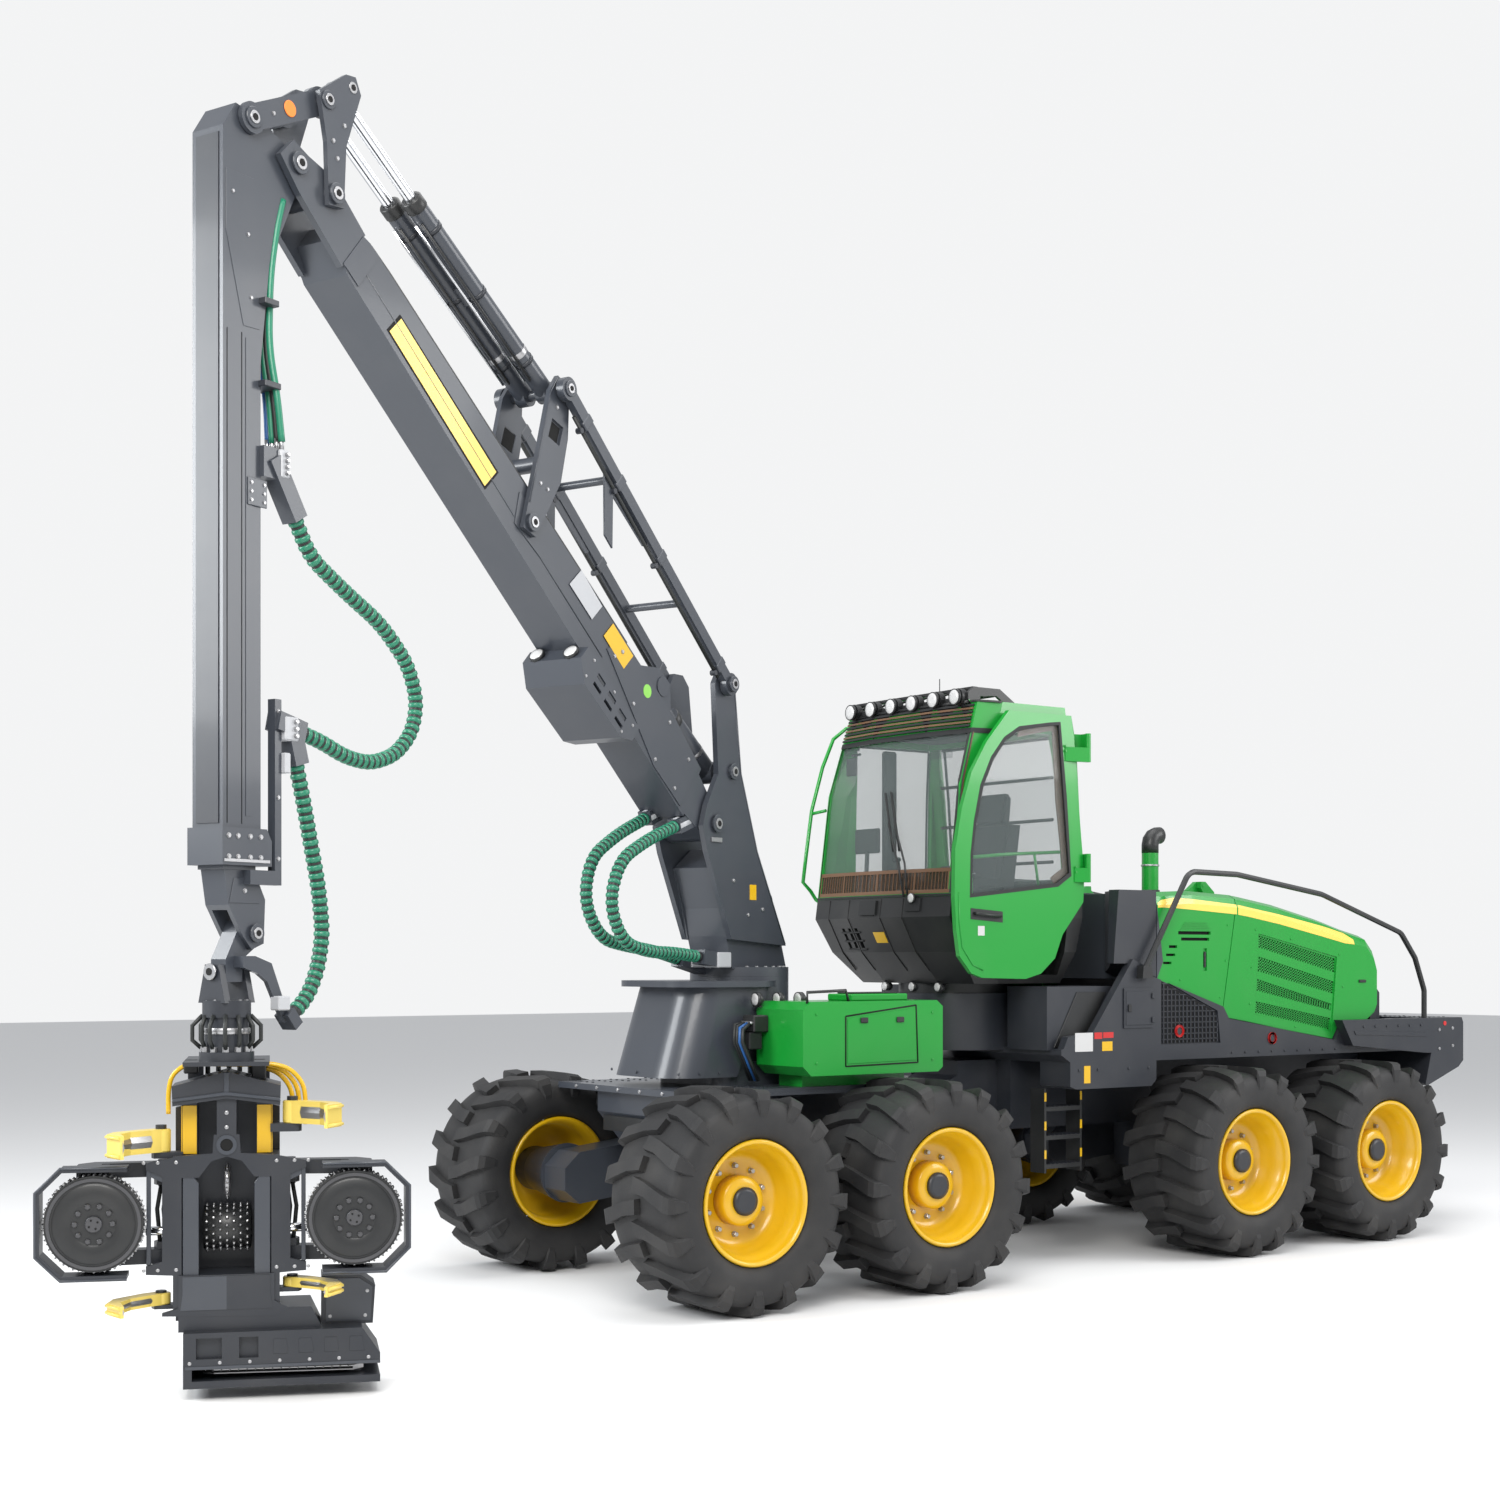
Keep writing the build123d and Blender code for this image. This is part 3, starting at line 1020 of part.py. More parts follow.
with BuildPart() as jib_extension:
    slab([(jib_in + jib_wall + pad, jib_low - 200), (jib_out - jib_wall - pad, jib_low - 200),
          (jib_out - jib_wall - pad, 5600), (jib_in + jib_wall + pad, 5600)], crane,
         jib_half - jib_wall - pad)
    slab([(jib_in + 20, jib_low - 200), (jib_out - 30, jib_low - 200), (jib_out - 60, 2370), (hang_pin[0] + 75,
            hang_pin[1] - 20), (hang_pin[0] + 20, hang_pin[1] - 80),
          (hang_pin[0] - 60, hang_pin[1] - 50), (hang_pin[0] - 70, 2400)], crane, 78)
    slab([(hang_pin[0] - 200, hang_pin[1] + 110), (hang_pin[0] + 200, hang_pin[1] + 110), (hang_pin[0] + 200,
            2000), (hang_pin[0] - 200, 2000)], crane, 50, mode=Mode.SUBTRACT)
    disc(hang_pin, crane, 32, 90)
    # the carrier that runs up outside the jib, with the lower manifold on it
    slab([(4396, 2470), (jib_in + 60, 2470), (jib_in + 60, 2540), (4440, 2540), (4440, 3380), (4396, 3380)],
         crane.offset(-hose_off), 24)
    slab([(jib_in + 30, 2470), (jib_in + 90, 2470), (jib_in + 90, 2540), (jib_in + 30, 2540)],
         crane.offset(-90), 34)
    fitting(hoses[2][2][::-1], hoses[2][1], 190)
    fitting(hoses[3][2], hoses[3][1], 150)
jib_extension.part.label = "jib_extension"
keep(jib_extension.part)

# Hanger and rotator
cross_z = 2060.0
cross_plane = Plane(origin=(slew_x, 0, 0), x_dir=(-slew_sin, slew_cos, 0), z_dir=(slew_cos, slew_sin, 0))
with BuildPart() as hanger:
    slab([(hang_pin[0] - 60, hang_pin[1] + 60), (hang_pin[0] - 60, hang_pin[1] - 50), (jib_axis - 55,
            cross_z + 50), (jib_axis - 55, cross_z - 60),
          (jib_axis + 55, cross_z - 60), (jib_axis + 55, cross_z + 50), (hang_pin[0] + 60, hang_pin[1] + 60)],
          crane, 50 - run_gap)
    # the bracket that holds the head hose's end
    slab([(4640, 2125), (4640, 2070), (4540, 2040), (4480, 2000), (4370, 1800), (4330, 1800), (4348, 1862),
          (4450, 2090), (4560, 2125)],
         crane.offset(-hose_off), 12)
    slab([(4590, 2125), (4590, 2070), (4640, 2070), (4640, 2125)], crane.offset(-70), 42)
    fitting(hoses[3][2][::-1], hoses[3][1], 60)
    disc(hang_pin, crane, 32 + run_gap, 90, mode=Mode.SUBTRACT)
    with BuildSketch(cross_plane.offset(jib_axis)) as cross_pin:
        with Locations((0, cross_z - 10)):
            Circle(30)
    extrude(cross_pin.sketch, amount=105, both=True)
hanger.part.label = "hanger"
keep(hanger.part)

rotor = Plane(origin=(head_x, head_y, 0))
with BuildPart() as swivel:
    for side in (-1, 1):
        with BuildSketch(cross_plane.offset(jib_axis + side * 80)) as cheek:
            Polygon((-45, cross_z + 25), (45, cross_z + 25), (90, rotator_top - 30), (-90, rotator_top - 30),
                    align=None)
            with Locations((0, cross_z - 10)):
                Circle(30 + run_gap, mode=Mode.SUBTRACT)
        extrude(cheek.sketch, amount=18, both=True)
    with BuildSketch(rotor.offset(rotator_top - 20)) as swivel_disc:
        Circle(115)
    extrude(swivel_disc.sketch, amount=-80)
    with BuildSketch(rotor.offset(rotator_top - 100)) as swivel_body:
        Circle(105)
    extrude(swivel_body.sketch, amount=-(rotator_top - 100 - rotator_low - 25))
swivel.part.label = "swivel"
keep(swivel.part)

# Head. Its sketches count to the right as seen from the open side, and up from the floor.
tilt_z = 1000.0
back = -330.0  # behind the rotator's axis
tilt_plane = Plane(origin=head.from_local_coords((0, tilt_z, back - 160)), z_dir=head.x_dir)
with BuildPart() as head_yoke:
    with BuildSketch(rotor.offset(rotator_low + 25 - run_gap)) as yoke_disc:
        Circle(130)
    extrude(yoke_disc.sketch, amount=-60)
    slab([(-200, head_top + 20), (200, head_top + 20), (200, rotator_low - 20), (-200, rotator_low - 20)],
         head.offset(-180), 330)
    for side in (-1, 1):
        with BuildSketch(head.offset(back - 120)) as yoke_leg:
            Polygon((side * 200, rotator_low - 20), (side * 200, tilt_z - 70), (side * 125, tilt_z - 70),
                    (side * 125, rotator_low - 20), align=None)
        extrude(yoke_leg.sketch, amount=-80)
    with BuildSketch(tilt_plane) as tilt_pin:
        Circle(32)
    extrude(tilt_pin.sketch, amount=210, both=True)
head_yoke.part.label = "head_yoke"
keep(head_yoke.part)

saw_top = 200.0
wall_out = 250.0
window_low, window_high = 660.0, 1090.0
with BuildPart() as head_frame:
    # back plate with its bearing, side walls, upper and lower collars
    slab([(-wall_out, 330), (wall_out, 330), (wall_out, 1380), (60, 1430), (-60, 1430), (-wall_out, 1380)],
         head.offset(back + 40), 40)
    slab([(-110, tilt_z - 80), (110, tilt_z - 80), (110, tilt_z + 90), (-110, tilt_z + 90)],
         head.offset(back - 100), 100)
    for side in (-1, 1):
        with BuildSketch(head.offset(back + 20)) as cheek:
            Polygon((side * wall_out, 420), (side * wall_out, 1165), (side * 210, 1165), (side * 210, 420),
                    align=None)
        extrude(cheek.sketch, amount=330)
        # the front plate's cheek beside the feed opening
        slab([(side * 210, 590), (side * 375, 600), (side * 375, 640), (side * 300, window_low),
              (side * 300, window_high - 20), (side * 375, 1100), (side * 375, 1135), (side * 210, 1165)],
             head.offset(5), 15)
        with BuildSketch(head.offset(back + 60)) as tower:
            Polygon((side * 140, 1150), (side * 210, 1150), (side * 210, 1420), (side * 140, 1420), align=None)
        extrude(tower.sketch, amount=210)
    # the arch over the feed opening with its post, and the crown above it
    slab([(-210, 1060), (-130, 1060), (-72, 1137), (0, 1159), (72, 1137), (130, 1060), (210, 1060), (210,
            1165), (66, 1175), (60, 1265), (-60, 1265),
          (-66, 1175), (-210, 1165)], head.offset(5), 15)
    slab([(-46, 1160), (46, 1160), (46, 1440), (-46, 1440)], head.offset(-20), 40)
    slab([(-252, 1405), (0, 1440), (252, 1405), (255, 1500), (0, 1570), (-255, 1500)], head.offset(-125), 165)
    # the throat between the lower knives
    slab([(-225, 420), (225, 420), (215, 500), (210, 590), (-210, 590), (-215, 500)], head.offset(-150), 180)
    slab([(-300, 400), (225, 385), (300, 420), (225, 460), (225, 592), (-225, 592), (-225, 435), (-300, 415)],
         head.offset(20), 12)
    # saw housing under the frame, with its motor box
    slab([(-200, 60), (726, 60), (726, saw_top), (640, 325), (-200, 325)], head.offset(-90), 190)
    slab([(450, 320), (697, 320), (709, 507), (638, 560), (450, 560)], head.offset(-160), 110)
    slab([(-225, 320), (450, 320), (400, 425), (-225, 425)], head.offset(-150), 180)
    slab([(-160, 95), (760, 95), (760, 150), (-160, 150)], head.offset(-60), 200, mode=Mode.SUBTRACT)
    slab([(-140, 200), (-20, 200), (-20, 300), (-140, 300)], head.offset(120), 60, mode=Mode.SUBTRACT)
    slab([(60, 200), (150, 200), (150, 300), (60, 300)], head.offset(120), 60, mode=Mode.SUBTRACT)
    saw_post = head.from_local_coords((saw_pivot[0], 0, saw_pivot[1]))
    with BuildSketch(Plane.XY.offset(80)) as post:
        with Locations((saw_post.X, saw_post.Y)):
            Circle(45)
    extrude(post.sketch, amount=saw_low - run_gap - 80)
    for side, across, forward, low, high, pin_low, pin_high in knuckles:
        foot = head.from_local_coords((side * across, 0, forward))
        wide = [head.from_local_coords((side * u, 0, w)) for u, w in ((205, forward - 45),
                (across + 30, forward - 45), (across + 45, forward),
                                                                      (across + 30, forward + 45), (205,
                                                                              forward + 45))]
        with BuildSketch(Plane.XY.offset(low)) as knuckle:
            Polygon(*[(c.X, c.Y) for c in wide], align=None)
        extrude(knuckle.sketch, amount=high - low)
        with BuildSketch(Plane.XY.offset(pin_low)) as pivot_pin:
            with Locations((foot.X, foot.Y)):
                Circle(head_pin)
        extrude(pivot_pin.sketch, amount=pin_high - pin_low)
    with BuildSketch(tilt_plane) as tilt_bore:
        Circle(32 + run_gap)
    extrude(tilt_bore.sketch, amount=300, both=True, mode=Mode.SUBTRACT)
head_frame.part.label = "head_frame"
keep(head_frame.part)

# columns: name, side
for name, side in (("left", -1), ("right", 1)):
    with BuildPart() as feed_arm:
        for z in arm_plates:
            with BuildSketch(Plane.XY.offset(z)) as arm_section:
                root = head.from_local_coords((side * arm_across, 0, arm_forward))
                with Locations((root.X, root.Y)):
                    Circle(45)
                corners = [head.from_local_coords((side * u, 0, w)) for u, w in ((arm_across, -165),
                        (620, -150), (690, -60), (690, 55), (580, 55), (580, -40), (arm_across, -75))]
                Polygon(*[(c.X, c.Y) for c in corners], align=None)
                with Locations((root.X, root.Y)):
                    Circle(head_pin + run_gap, mode=Mode.SUBTRACT)
            extrude(arm_section.sketch, amount=arm_thick)
        slab([(side * 580, arm_plates[0] + 10), (side * 690, arm_plates[0] + 10), (side * 690,
                arm_plates[1] + 10), (side * 580, arm_plates[1] + 10)], head.offset(-62), 58)
        disc((side * roller_across, roller_z), head.offset(60), 40, 140)
        # the guard round the roller's outer half
        guard = [(side * (roller_across + u), roller_z + v) for u, v in
                 ((-150, -262), (150, -262), (262, -150), (262, 150), (150, 262), (-150, 262), (-150, 242),
                  (142, 242), (242, 142), (242, -142), (142, -242), (-150, -242))]
        slab(guard, head.offset(120), 80)
        slab([(side * (roller_across - 60), roller_z - 262), (side * (roller_across + 60), roller_z - 262),
              (side * (roller_across + 60), roller_z + 262),
              (side * (roller_across - 60), roller_z + 262)], head.offset(30), 10)
    feed_arm.part.label = f"feed_arm_{name}"
    keep(feed_arm.part)
    with BuildPart() as feed_roller:
        disc((side * roller_across, roller_z), head.offset(130), roller_radius, 65)
        disc((side * roller_across, roller_z), head.offset(130), 40 + run_gap, 100, mode=Mode.SUBTRACT)
    feed_roller.part.label = f"feed_roller_{name}"
    keep(feed_roller.part)

for name, side, low, high in knives:
    with BuildPart() as knife:
        pivot = head.from_local_coords((side * knife_across, 0, knife_forward))
        shape = [head.from_local_coords((side * u, 0, w)) for u, w in ((knife_across - 25, knife_forward - 10),
                (knife_across + 10, knife_forward - 40),
                 (400, -60), (520, 80), (540, 200), (470, 330), (455, 320), (480, 190), (440, 90), (350, 0),
                 (knife_across - 25, knife_forward + 30))]
        with BuildSketch(Plane.XY.offset(low)) as blade:
            Polygon(*[(c.X, c.Y) for c in shape], align=None)
            with Locations((pivot.X, pivot.Y)):
                Circle(42)
                Circle(head_pin + run_gap, mode=Mode.SUBTRACT)
        extrude(blade.sketch, amount=high - low)
    knife.part.label = name
    keep(knife.part)

with BuildPart() as saw_bar:
    tip = [head.from_local_coords((u, 0, w)) for u, w in ((560, -110), (640, -110), (650, -20), (600, 30),
                                                          (-60, 0), (-110, -30), (-110, -70), (-60, -110))]
    with BuildSketch(Plane.XY.offset(saw_low)) as bar_outline:
        Polygon(*[(c.X, c.Y) for c in tip], align=None)
    extrude(bar_outline.sketch, amount=22)
saw_bar.part.label = "saw_bar"
keep(saw_bar.part)

# Hoses, as straight runs joined by arcs as large as the runs allow
for name, offset, points in hoses:
    route = [crane.from_local_coords((out, up, offset)) for out, up in points]
    runs = [(far - near).length for near, far in zip(route, route[1:])]
    turns = [(b - a).get_angle(c - b) for a, b, c in zip(route, route[1:], route[2:])]
    radii = [0.45 * min(first, second) / tan(radians(turn / 2)) for first, second, turn in zip(runs, runs[1:],
            turns)]
    with BuildPart() as hose:
        with BuildLine() as hose_path:
            FilletPolyline(*route, radius=radii)
        with BuildSketch(Plane(origin=route[0], z_dir=route[1] - route[0])) as hose_section:
            Circle(hose_radius)
        sweep(hose_section.sketch, path=hose_path.line)
    hose.part.label = name
    keep(hose.part)
    print(name, "length", round(hose_path.wires()[0].length), "runs", [round(run) for run in runs], "radii",
          [round(radius) for radius in radii])
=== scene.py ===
import math

import bmesh
import bpy
from mathutils import Matrix, Vector


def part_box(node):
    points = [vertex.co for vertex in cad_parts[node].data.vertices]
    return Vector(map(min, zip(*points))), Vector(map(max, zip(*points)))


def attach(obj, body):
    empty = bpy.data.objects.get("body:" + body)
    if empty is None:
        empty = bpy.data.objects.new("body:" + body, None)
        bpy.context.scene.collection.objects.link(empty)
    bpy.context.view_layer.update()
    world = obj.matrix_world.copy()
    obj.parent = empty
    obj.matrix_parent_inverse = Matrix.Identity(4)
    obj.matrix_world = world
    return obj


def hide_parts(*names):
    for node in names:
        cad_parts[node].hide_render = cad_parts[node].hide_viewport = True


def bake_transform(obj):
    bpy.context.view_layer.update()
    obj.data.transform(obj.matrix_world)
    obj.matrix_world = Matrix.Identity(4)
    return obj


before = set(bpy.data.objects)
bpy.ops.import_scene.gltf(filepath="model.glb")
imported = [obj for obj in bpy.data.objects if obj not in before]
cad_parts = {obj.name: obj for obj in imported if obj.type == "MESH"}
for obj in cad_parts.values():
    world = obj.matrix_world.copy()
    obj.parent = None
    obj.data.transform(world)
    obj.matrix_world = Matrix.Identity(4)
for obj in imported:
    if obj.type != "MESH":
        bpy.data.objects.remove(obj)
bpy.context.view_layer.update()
print("frame loaded")

# Where things are. Sizes are in metres, taken from the machine's foremost axle at floor level.
leftRim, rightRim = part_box("rim_front_left_1"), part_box("rim_front_right_1")
origin = Vector(((leftRim[0].x + leftRim[1].x) / 2, (leftRim[0].y + rightRim[1].y) / 2, 0))
slewX = -0.9
slewTurn = math.radians(22.5)
headOut = 4.638
headTurn = math.radians(67)

# The photographer's place, in the machine's frame
camera = {"place": (7.2451, 11.5188, 2.1094), "turn": -2.1914, "lens": 50.57, "shift": 0.1395}

wheels = [f"{end}_{side}_{i}" for end in ("front", "rear") for side in ("left", "right") for i in (1, 2)]
tyre = {"radius": 0.6725, "root": 0.632, "width": 0.71, "lugs": 16, "steps": 96}
hose = {"radius": 0.040, "core": 0.034, "pitch": 0.042, "sides": 16}


def machineAt(x, y, z):
    return origin + Vector((x, y, z))


# A frame to draw in, with its own x and y, and z square to both
def planeAt(place, xAxis, yAxis):
    xAxis, yAxis = Vector(xAxis).normalized(), Vector(yAxis).normalized()
    turned = Matrix((xAxis, yAxis, xAxis.cross(yAxis))).transposed().to_4x4()
    return Matrix.Translation(place) @ turned


outwards = Vector((math.cos(slewTurn), math.sin(slewTurn), 0))
upwards = Vector((0, 0, 1))
craneRight = outwards.cross(upwards)
headForward = Vector((math.cos(headTurn), math.sin(headTurn), 0))
headCentre = machineAt(slewX, 0, 0) + outwards * headOut

# Planes to draw in. The crane's: x out from the slewing axis, y up from the floor, z to the crane's right.
# The head's: x to the right as seen from its open side, y up, z towards that side.
cranePlane = planeAt(machineAt(slewX, 0, 0), outwards, upwards)
headPlane = planeAt(headCentre, (-headForward.y, headForward.x, 0), upwards)
sidePlane = planeAt(machineAt(0, 0, 0), (1, 0, 0), (0, 0, 1))  # z to the machine's right
levelPlane = planeAt(machineAt(0, 0, 0), (1, 0, 0), (0, 1, 0))  # z up
crossPlane = planeAt(machineAt(0, 0, 0), (0, 1, 0), (0, 0, 1))  # z forward
flip = Matrix.Rotation(math.pi, 4, "X")

# The cab's turning axis, and heights of its front: sill, bend and roof
cabX, sillUp, bendUp, roofUp = -2.8, 2.54, 3.3, 3.88

# Half widths of what the details lie on
hoodHalf, wallHalf, bumperHalf, bogieHalf, sideBoxHalf = 0.975, 1.0, 1.08, 0.740, 0.930
columnHalf, boomHalf, rockerHalf, jibHalf, collarHalf = 0.195, 0.150, 0.186, 0.102, 0.118

# Pins of the crane on its plane
liftPin, jibPin = Vector((0.590, 2.978)), Vector((4.305, 6.028))
liftFoot, liftHead = (0.395, 3.326), (1.072, 3.810)
linkFoot, rockerFoot, rockerTop = Vector((0.485, 3.880)), Vector((2.490, 4.575)), Vector((2.220, 5.383))
leverTop, leverRod, jibLug = (4.135, 6.392), (3.955, 6.515), (4.086, 5.938)
boomLine = (jibPin - liftPin).normalized()


def onBoom(distance, side):
    return liftPin + boomLine * distance + Vector((-boomLine.y, boomLine.x)) * side


def onCrane(out, up, right=0.0):
    return cranePlane @ Vector((out, up, right))


def onHead(across, up, forward):
    return headPlane @ Vector((across, up, forward))


# A plane at a place of the machine that faces forward, as a lamp does
def facing(x, y, z):
    return planeAt(machineAt(x, y, z), (0, 1, 0), (0, 0, 1))


# The two heights of a plate that lies on a flank, on the right for side 1
def outside(side, base, depth):
    return (base, base + depth) if side > 0 else (-base - depth, -base)


def about(middle, half):
    return middle - half, middle + half


def rectangle(left, right, low, high):
    return [(left, low), (right, low), (right, high), (left, high)]


def ringOf(centre, radius, count, start=0.0):
    return [(centre[0] + radius * math.cos(start + 2 * math.pi * i / count),
             centre[1] + radius * math.sin(start + 2 * math.pi * i / count))
            for i in range(count)]


# Materials
def makeMaterial(name, colour, roughness, metallic=0.0, coat=0.0, dust=0.0, bump=0.0, alpha=1.0):
    material = bpy.data.materials.new(name)
    material.use_nodes = True
    nodes, links = material.node_tree.nodes, material.node_tree.links

    def node(kind, **values):
        made = nodes.new(kind)
        for key, value in values.items():
            made.inputs[key].default_value = value
        return made

    shader = nodes["Principled BSDF"]
    for key, value in (("Base Color", (*colour, 1)), ("Roughness", roughness), ("Metallic", metallic),
                       ("Coat Weight", coat), ("Coat Roughness", 0.08), ("Alpha", alpha)):
        shader.inputs[key].default_value = value
    if not dust and not bump:
        return material
    place = nodes.new("ShaderNodeTexCoord")
    noise = node("ShaderNodeTexNoise", Scale=3.0, Detail=8.0)
    links.new(place.outputs["Object"], noise.inputs["Vector"])
    if dust:
        ramp = nodes.new("ShaderNodeValToRGB")
        for element, position, grey in zip(ramp.color_ramp.elements, (0.42, 0.8), (0, dust)):
            element.position = position
            element.color = (grey, grey, grey, 1)
        mix = nodes.new("ShaderNodeMix")
        mix.data_type = "RGBA"
        mix.inputs["A"].default_value = (*colour, 1)
        mix.inputs["B"].default_value = (0.30, 0.28, 0.25, 1)
        links.new(noise.outputs["Fac"], ramp.inputs["Fac"])
        links.new(ramp.outputs["Color"], mix.inputs["Factor"])
        links.new(mix.outputs["Result"], shader.inputs["Base Color"])
    if bump:
        fine = node("ShaderNodeTexNoise", Scale=90.0, Detail=4.0)
        raised = node("ShaderNodeBump", Strength=bump, Distance=0.002)
        links.new(place.outputs["Object"], fine.inputs["Vector"])
        links.new(fine.outputs["Fac"], raised.inputs["Height"])
        links.new(raised.outputs["Normal"], shader.inputs["Normal"])
    return material


green = makeMaterial("green_paint", (0.006, 0.27, 0.028), 0.28, coat=0.25, dust=0.03)
charcoal = makeMaterial("charcoal_paint", (0.040, 0.046, 0.058), 0.36, coat=0.2, dust=0.03, bump=0.05)
darkFrame = makeMaterial("dark_frame_paint", (0.018, 0.021, 0.028), 0.45, coat=0.1, dust=0.04, bump=0.05)
yellow = makeMaterial("yellow_paint", (0.68, 0.40, 0.003), 0.32, coat=0.4, dust=0.05)
knifeYellow = makeMaterial("knife_paint", (0.74, 0.56, 0.11), 0.4, coat=0.2, dust=0.1)
black = makeMaterial("black_paint", (0.010, 0.011, 0.012), 0.45, coat=0.1, dust=0.05)
blackPlastic = makeMaterial("black_plastic", (0.010, 0.011, 0.012), 0.6, bump=0.2)
rubber = makeMaterial("tyre_rubber", (0.013, 0.013, 0.014), 0.66, dust=0.07, bump=0.4)
hoseBlack = makeMaterial("hose_black", (0.012, 0.014, 0.014), 0.5)
hoseGreen = makeMaterial("hose_green", (0.012, 0.18, 0.10), 0.4, coat=0.2)
steel = makeMaterial("bare_steel", (0.42, 0.42, 0.43), 0.35, metallic=0.9, dust=0.1)
darkSteel = makeMaterial("dark_steel", (0.10, 0.10, 0.105), 0.4, metallic=0.8)
chrome = makeMaterial("chrome", (0.75, 0.76, 0.78), 0.12, metallic=1.0)
glass = makeMaterial("glass", (0.20, 0.24, 0.24), 0.03, alpha=0.20)
tan = makeMaterial("tan_band", (0.16, 0.085, 0.045), 0.4, alpha=0.85)
white = makeMaterial("lamp_white", (0.55, 0.55, 0.55), 0.25, coat=0.6)
orange = makeMaterial("orange", (0.8, 0.2, 0.02), 0.4)
red = makeMaterial("red", (0.5, 0.02, 0.02), 0.4)
silver = makeMaterial("silver_label", (0.42, 0.43, 0.45), 0.4)
seatCloth = makeMaterial("seat_cloth", (0.03, 0.03, 0.034), 0.85, bump=0.4)
# darkest black, for thin dark lines and some black parts, and as painted shade in holes, openings and behind
# grilles and mesh
shadow = makeMaterial("black_and_painted_shade", (0.004, 0.004, 0.004), 0.9)
stripeYellow = makeMaterial("stripe_yellow", (0.86, 0.60, 0.10), 0.35, coat=0.3)
meshGreen = makeMaterial("mesh_green", (0.008, 0.25, 0.030), 0.45)
# a dark see-through mesh, with painted shade of the cab behind it
shadowMesh = makeMaterial("dark_mesh_and_painted_shade", (0.03, 0.02, 0.012), 0.7, alpha=0.75)
screenDark = makeMaterial("screen", (0.01, 0.015, 0.03), 0.15)
bluePipe = makeMaterial("blue_pipe", (0.02, 0.10, 0.30), 0.4)
stickerGreen = makeMaterial("sticker_green", (0.22, 0.55, 0.08), 0.4)

nodeLooks = {
    charcoal: ["front_frame", "crane_skirt", "column", "main_boom", "lower_links", "rocker", "lever",
               "jib_link", "jib", "jib_extension", "hanger", "front_bogies", "lift_cylinder", "jib_cylinders"],
    darkFrame: ["rear_frame", "rear_bogies", "head_frame", "head_yoke", "swivel", "feed_arm_left",
                "feed_arm_right"],
    green: ["side_box", "hood", "cowl", "cab_frame", "door"],
    black: ["guard_rails", "cab_base", "feed_roller_left", "feed_roller_right"],
    seatCloth: ["seat"],
    glass: ["door_glass", "cab_glass"],
    chrome: ["lift_rod", "jib_rods"],
    steel: ["saw_bar"],
    knifeYellow: ["upper_knife_left", "upper_knife_right", "lower_knife_left", "lower_knife_right"],
    rubber: ["tyre_" + wheel for wheel in wheels],
    yellow: ["rim_" + wheel for wheel in wheels],
    hoseGreen: ["hose_column_right", "hose_column_left", "hose_jib", "hose_head"],
}
for material, names in nodeLooks.items():
    for name in names:
        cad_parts[name].data.materials.clear()
        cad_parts[name].data.materials.append(material)


# A second colour for the faces of a node whose middle passes a test
def paintFaces(name, material, test):
    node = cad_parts[name]
    node.data.materials.append(material)
    for face in node.data.polygons:
        if test(node.matrix_world @ face.center - origin):
            face.material_index = 1


paintFaces("cab_frame", black, lambda place: place.z > 3.888 or (place.x > -2.38 and place.z > 3.80))
paintFaces("cowl", charcoal, lambda place: place.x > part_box("cowl")[1].x - origin.x - 0.03)


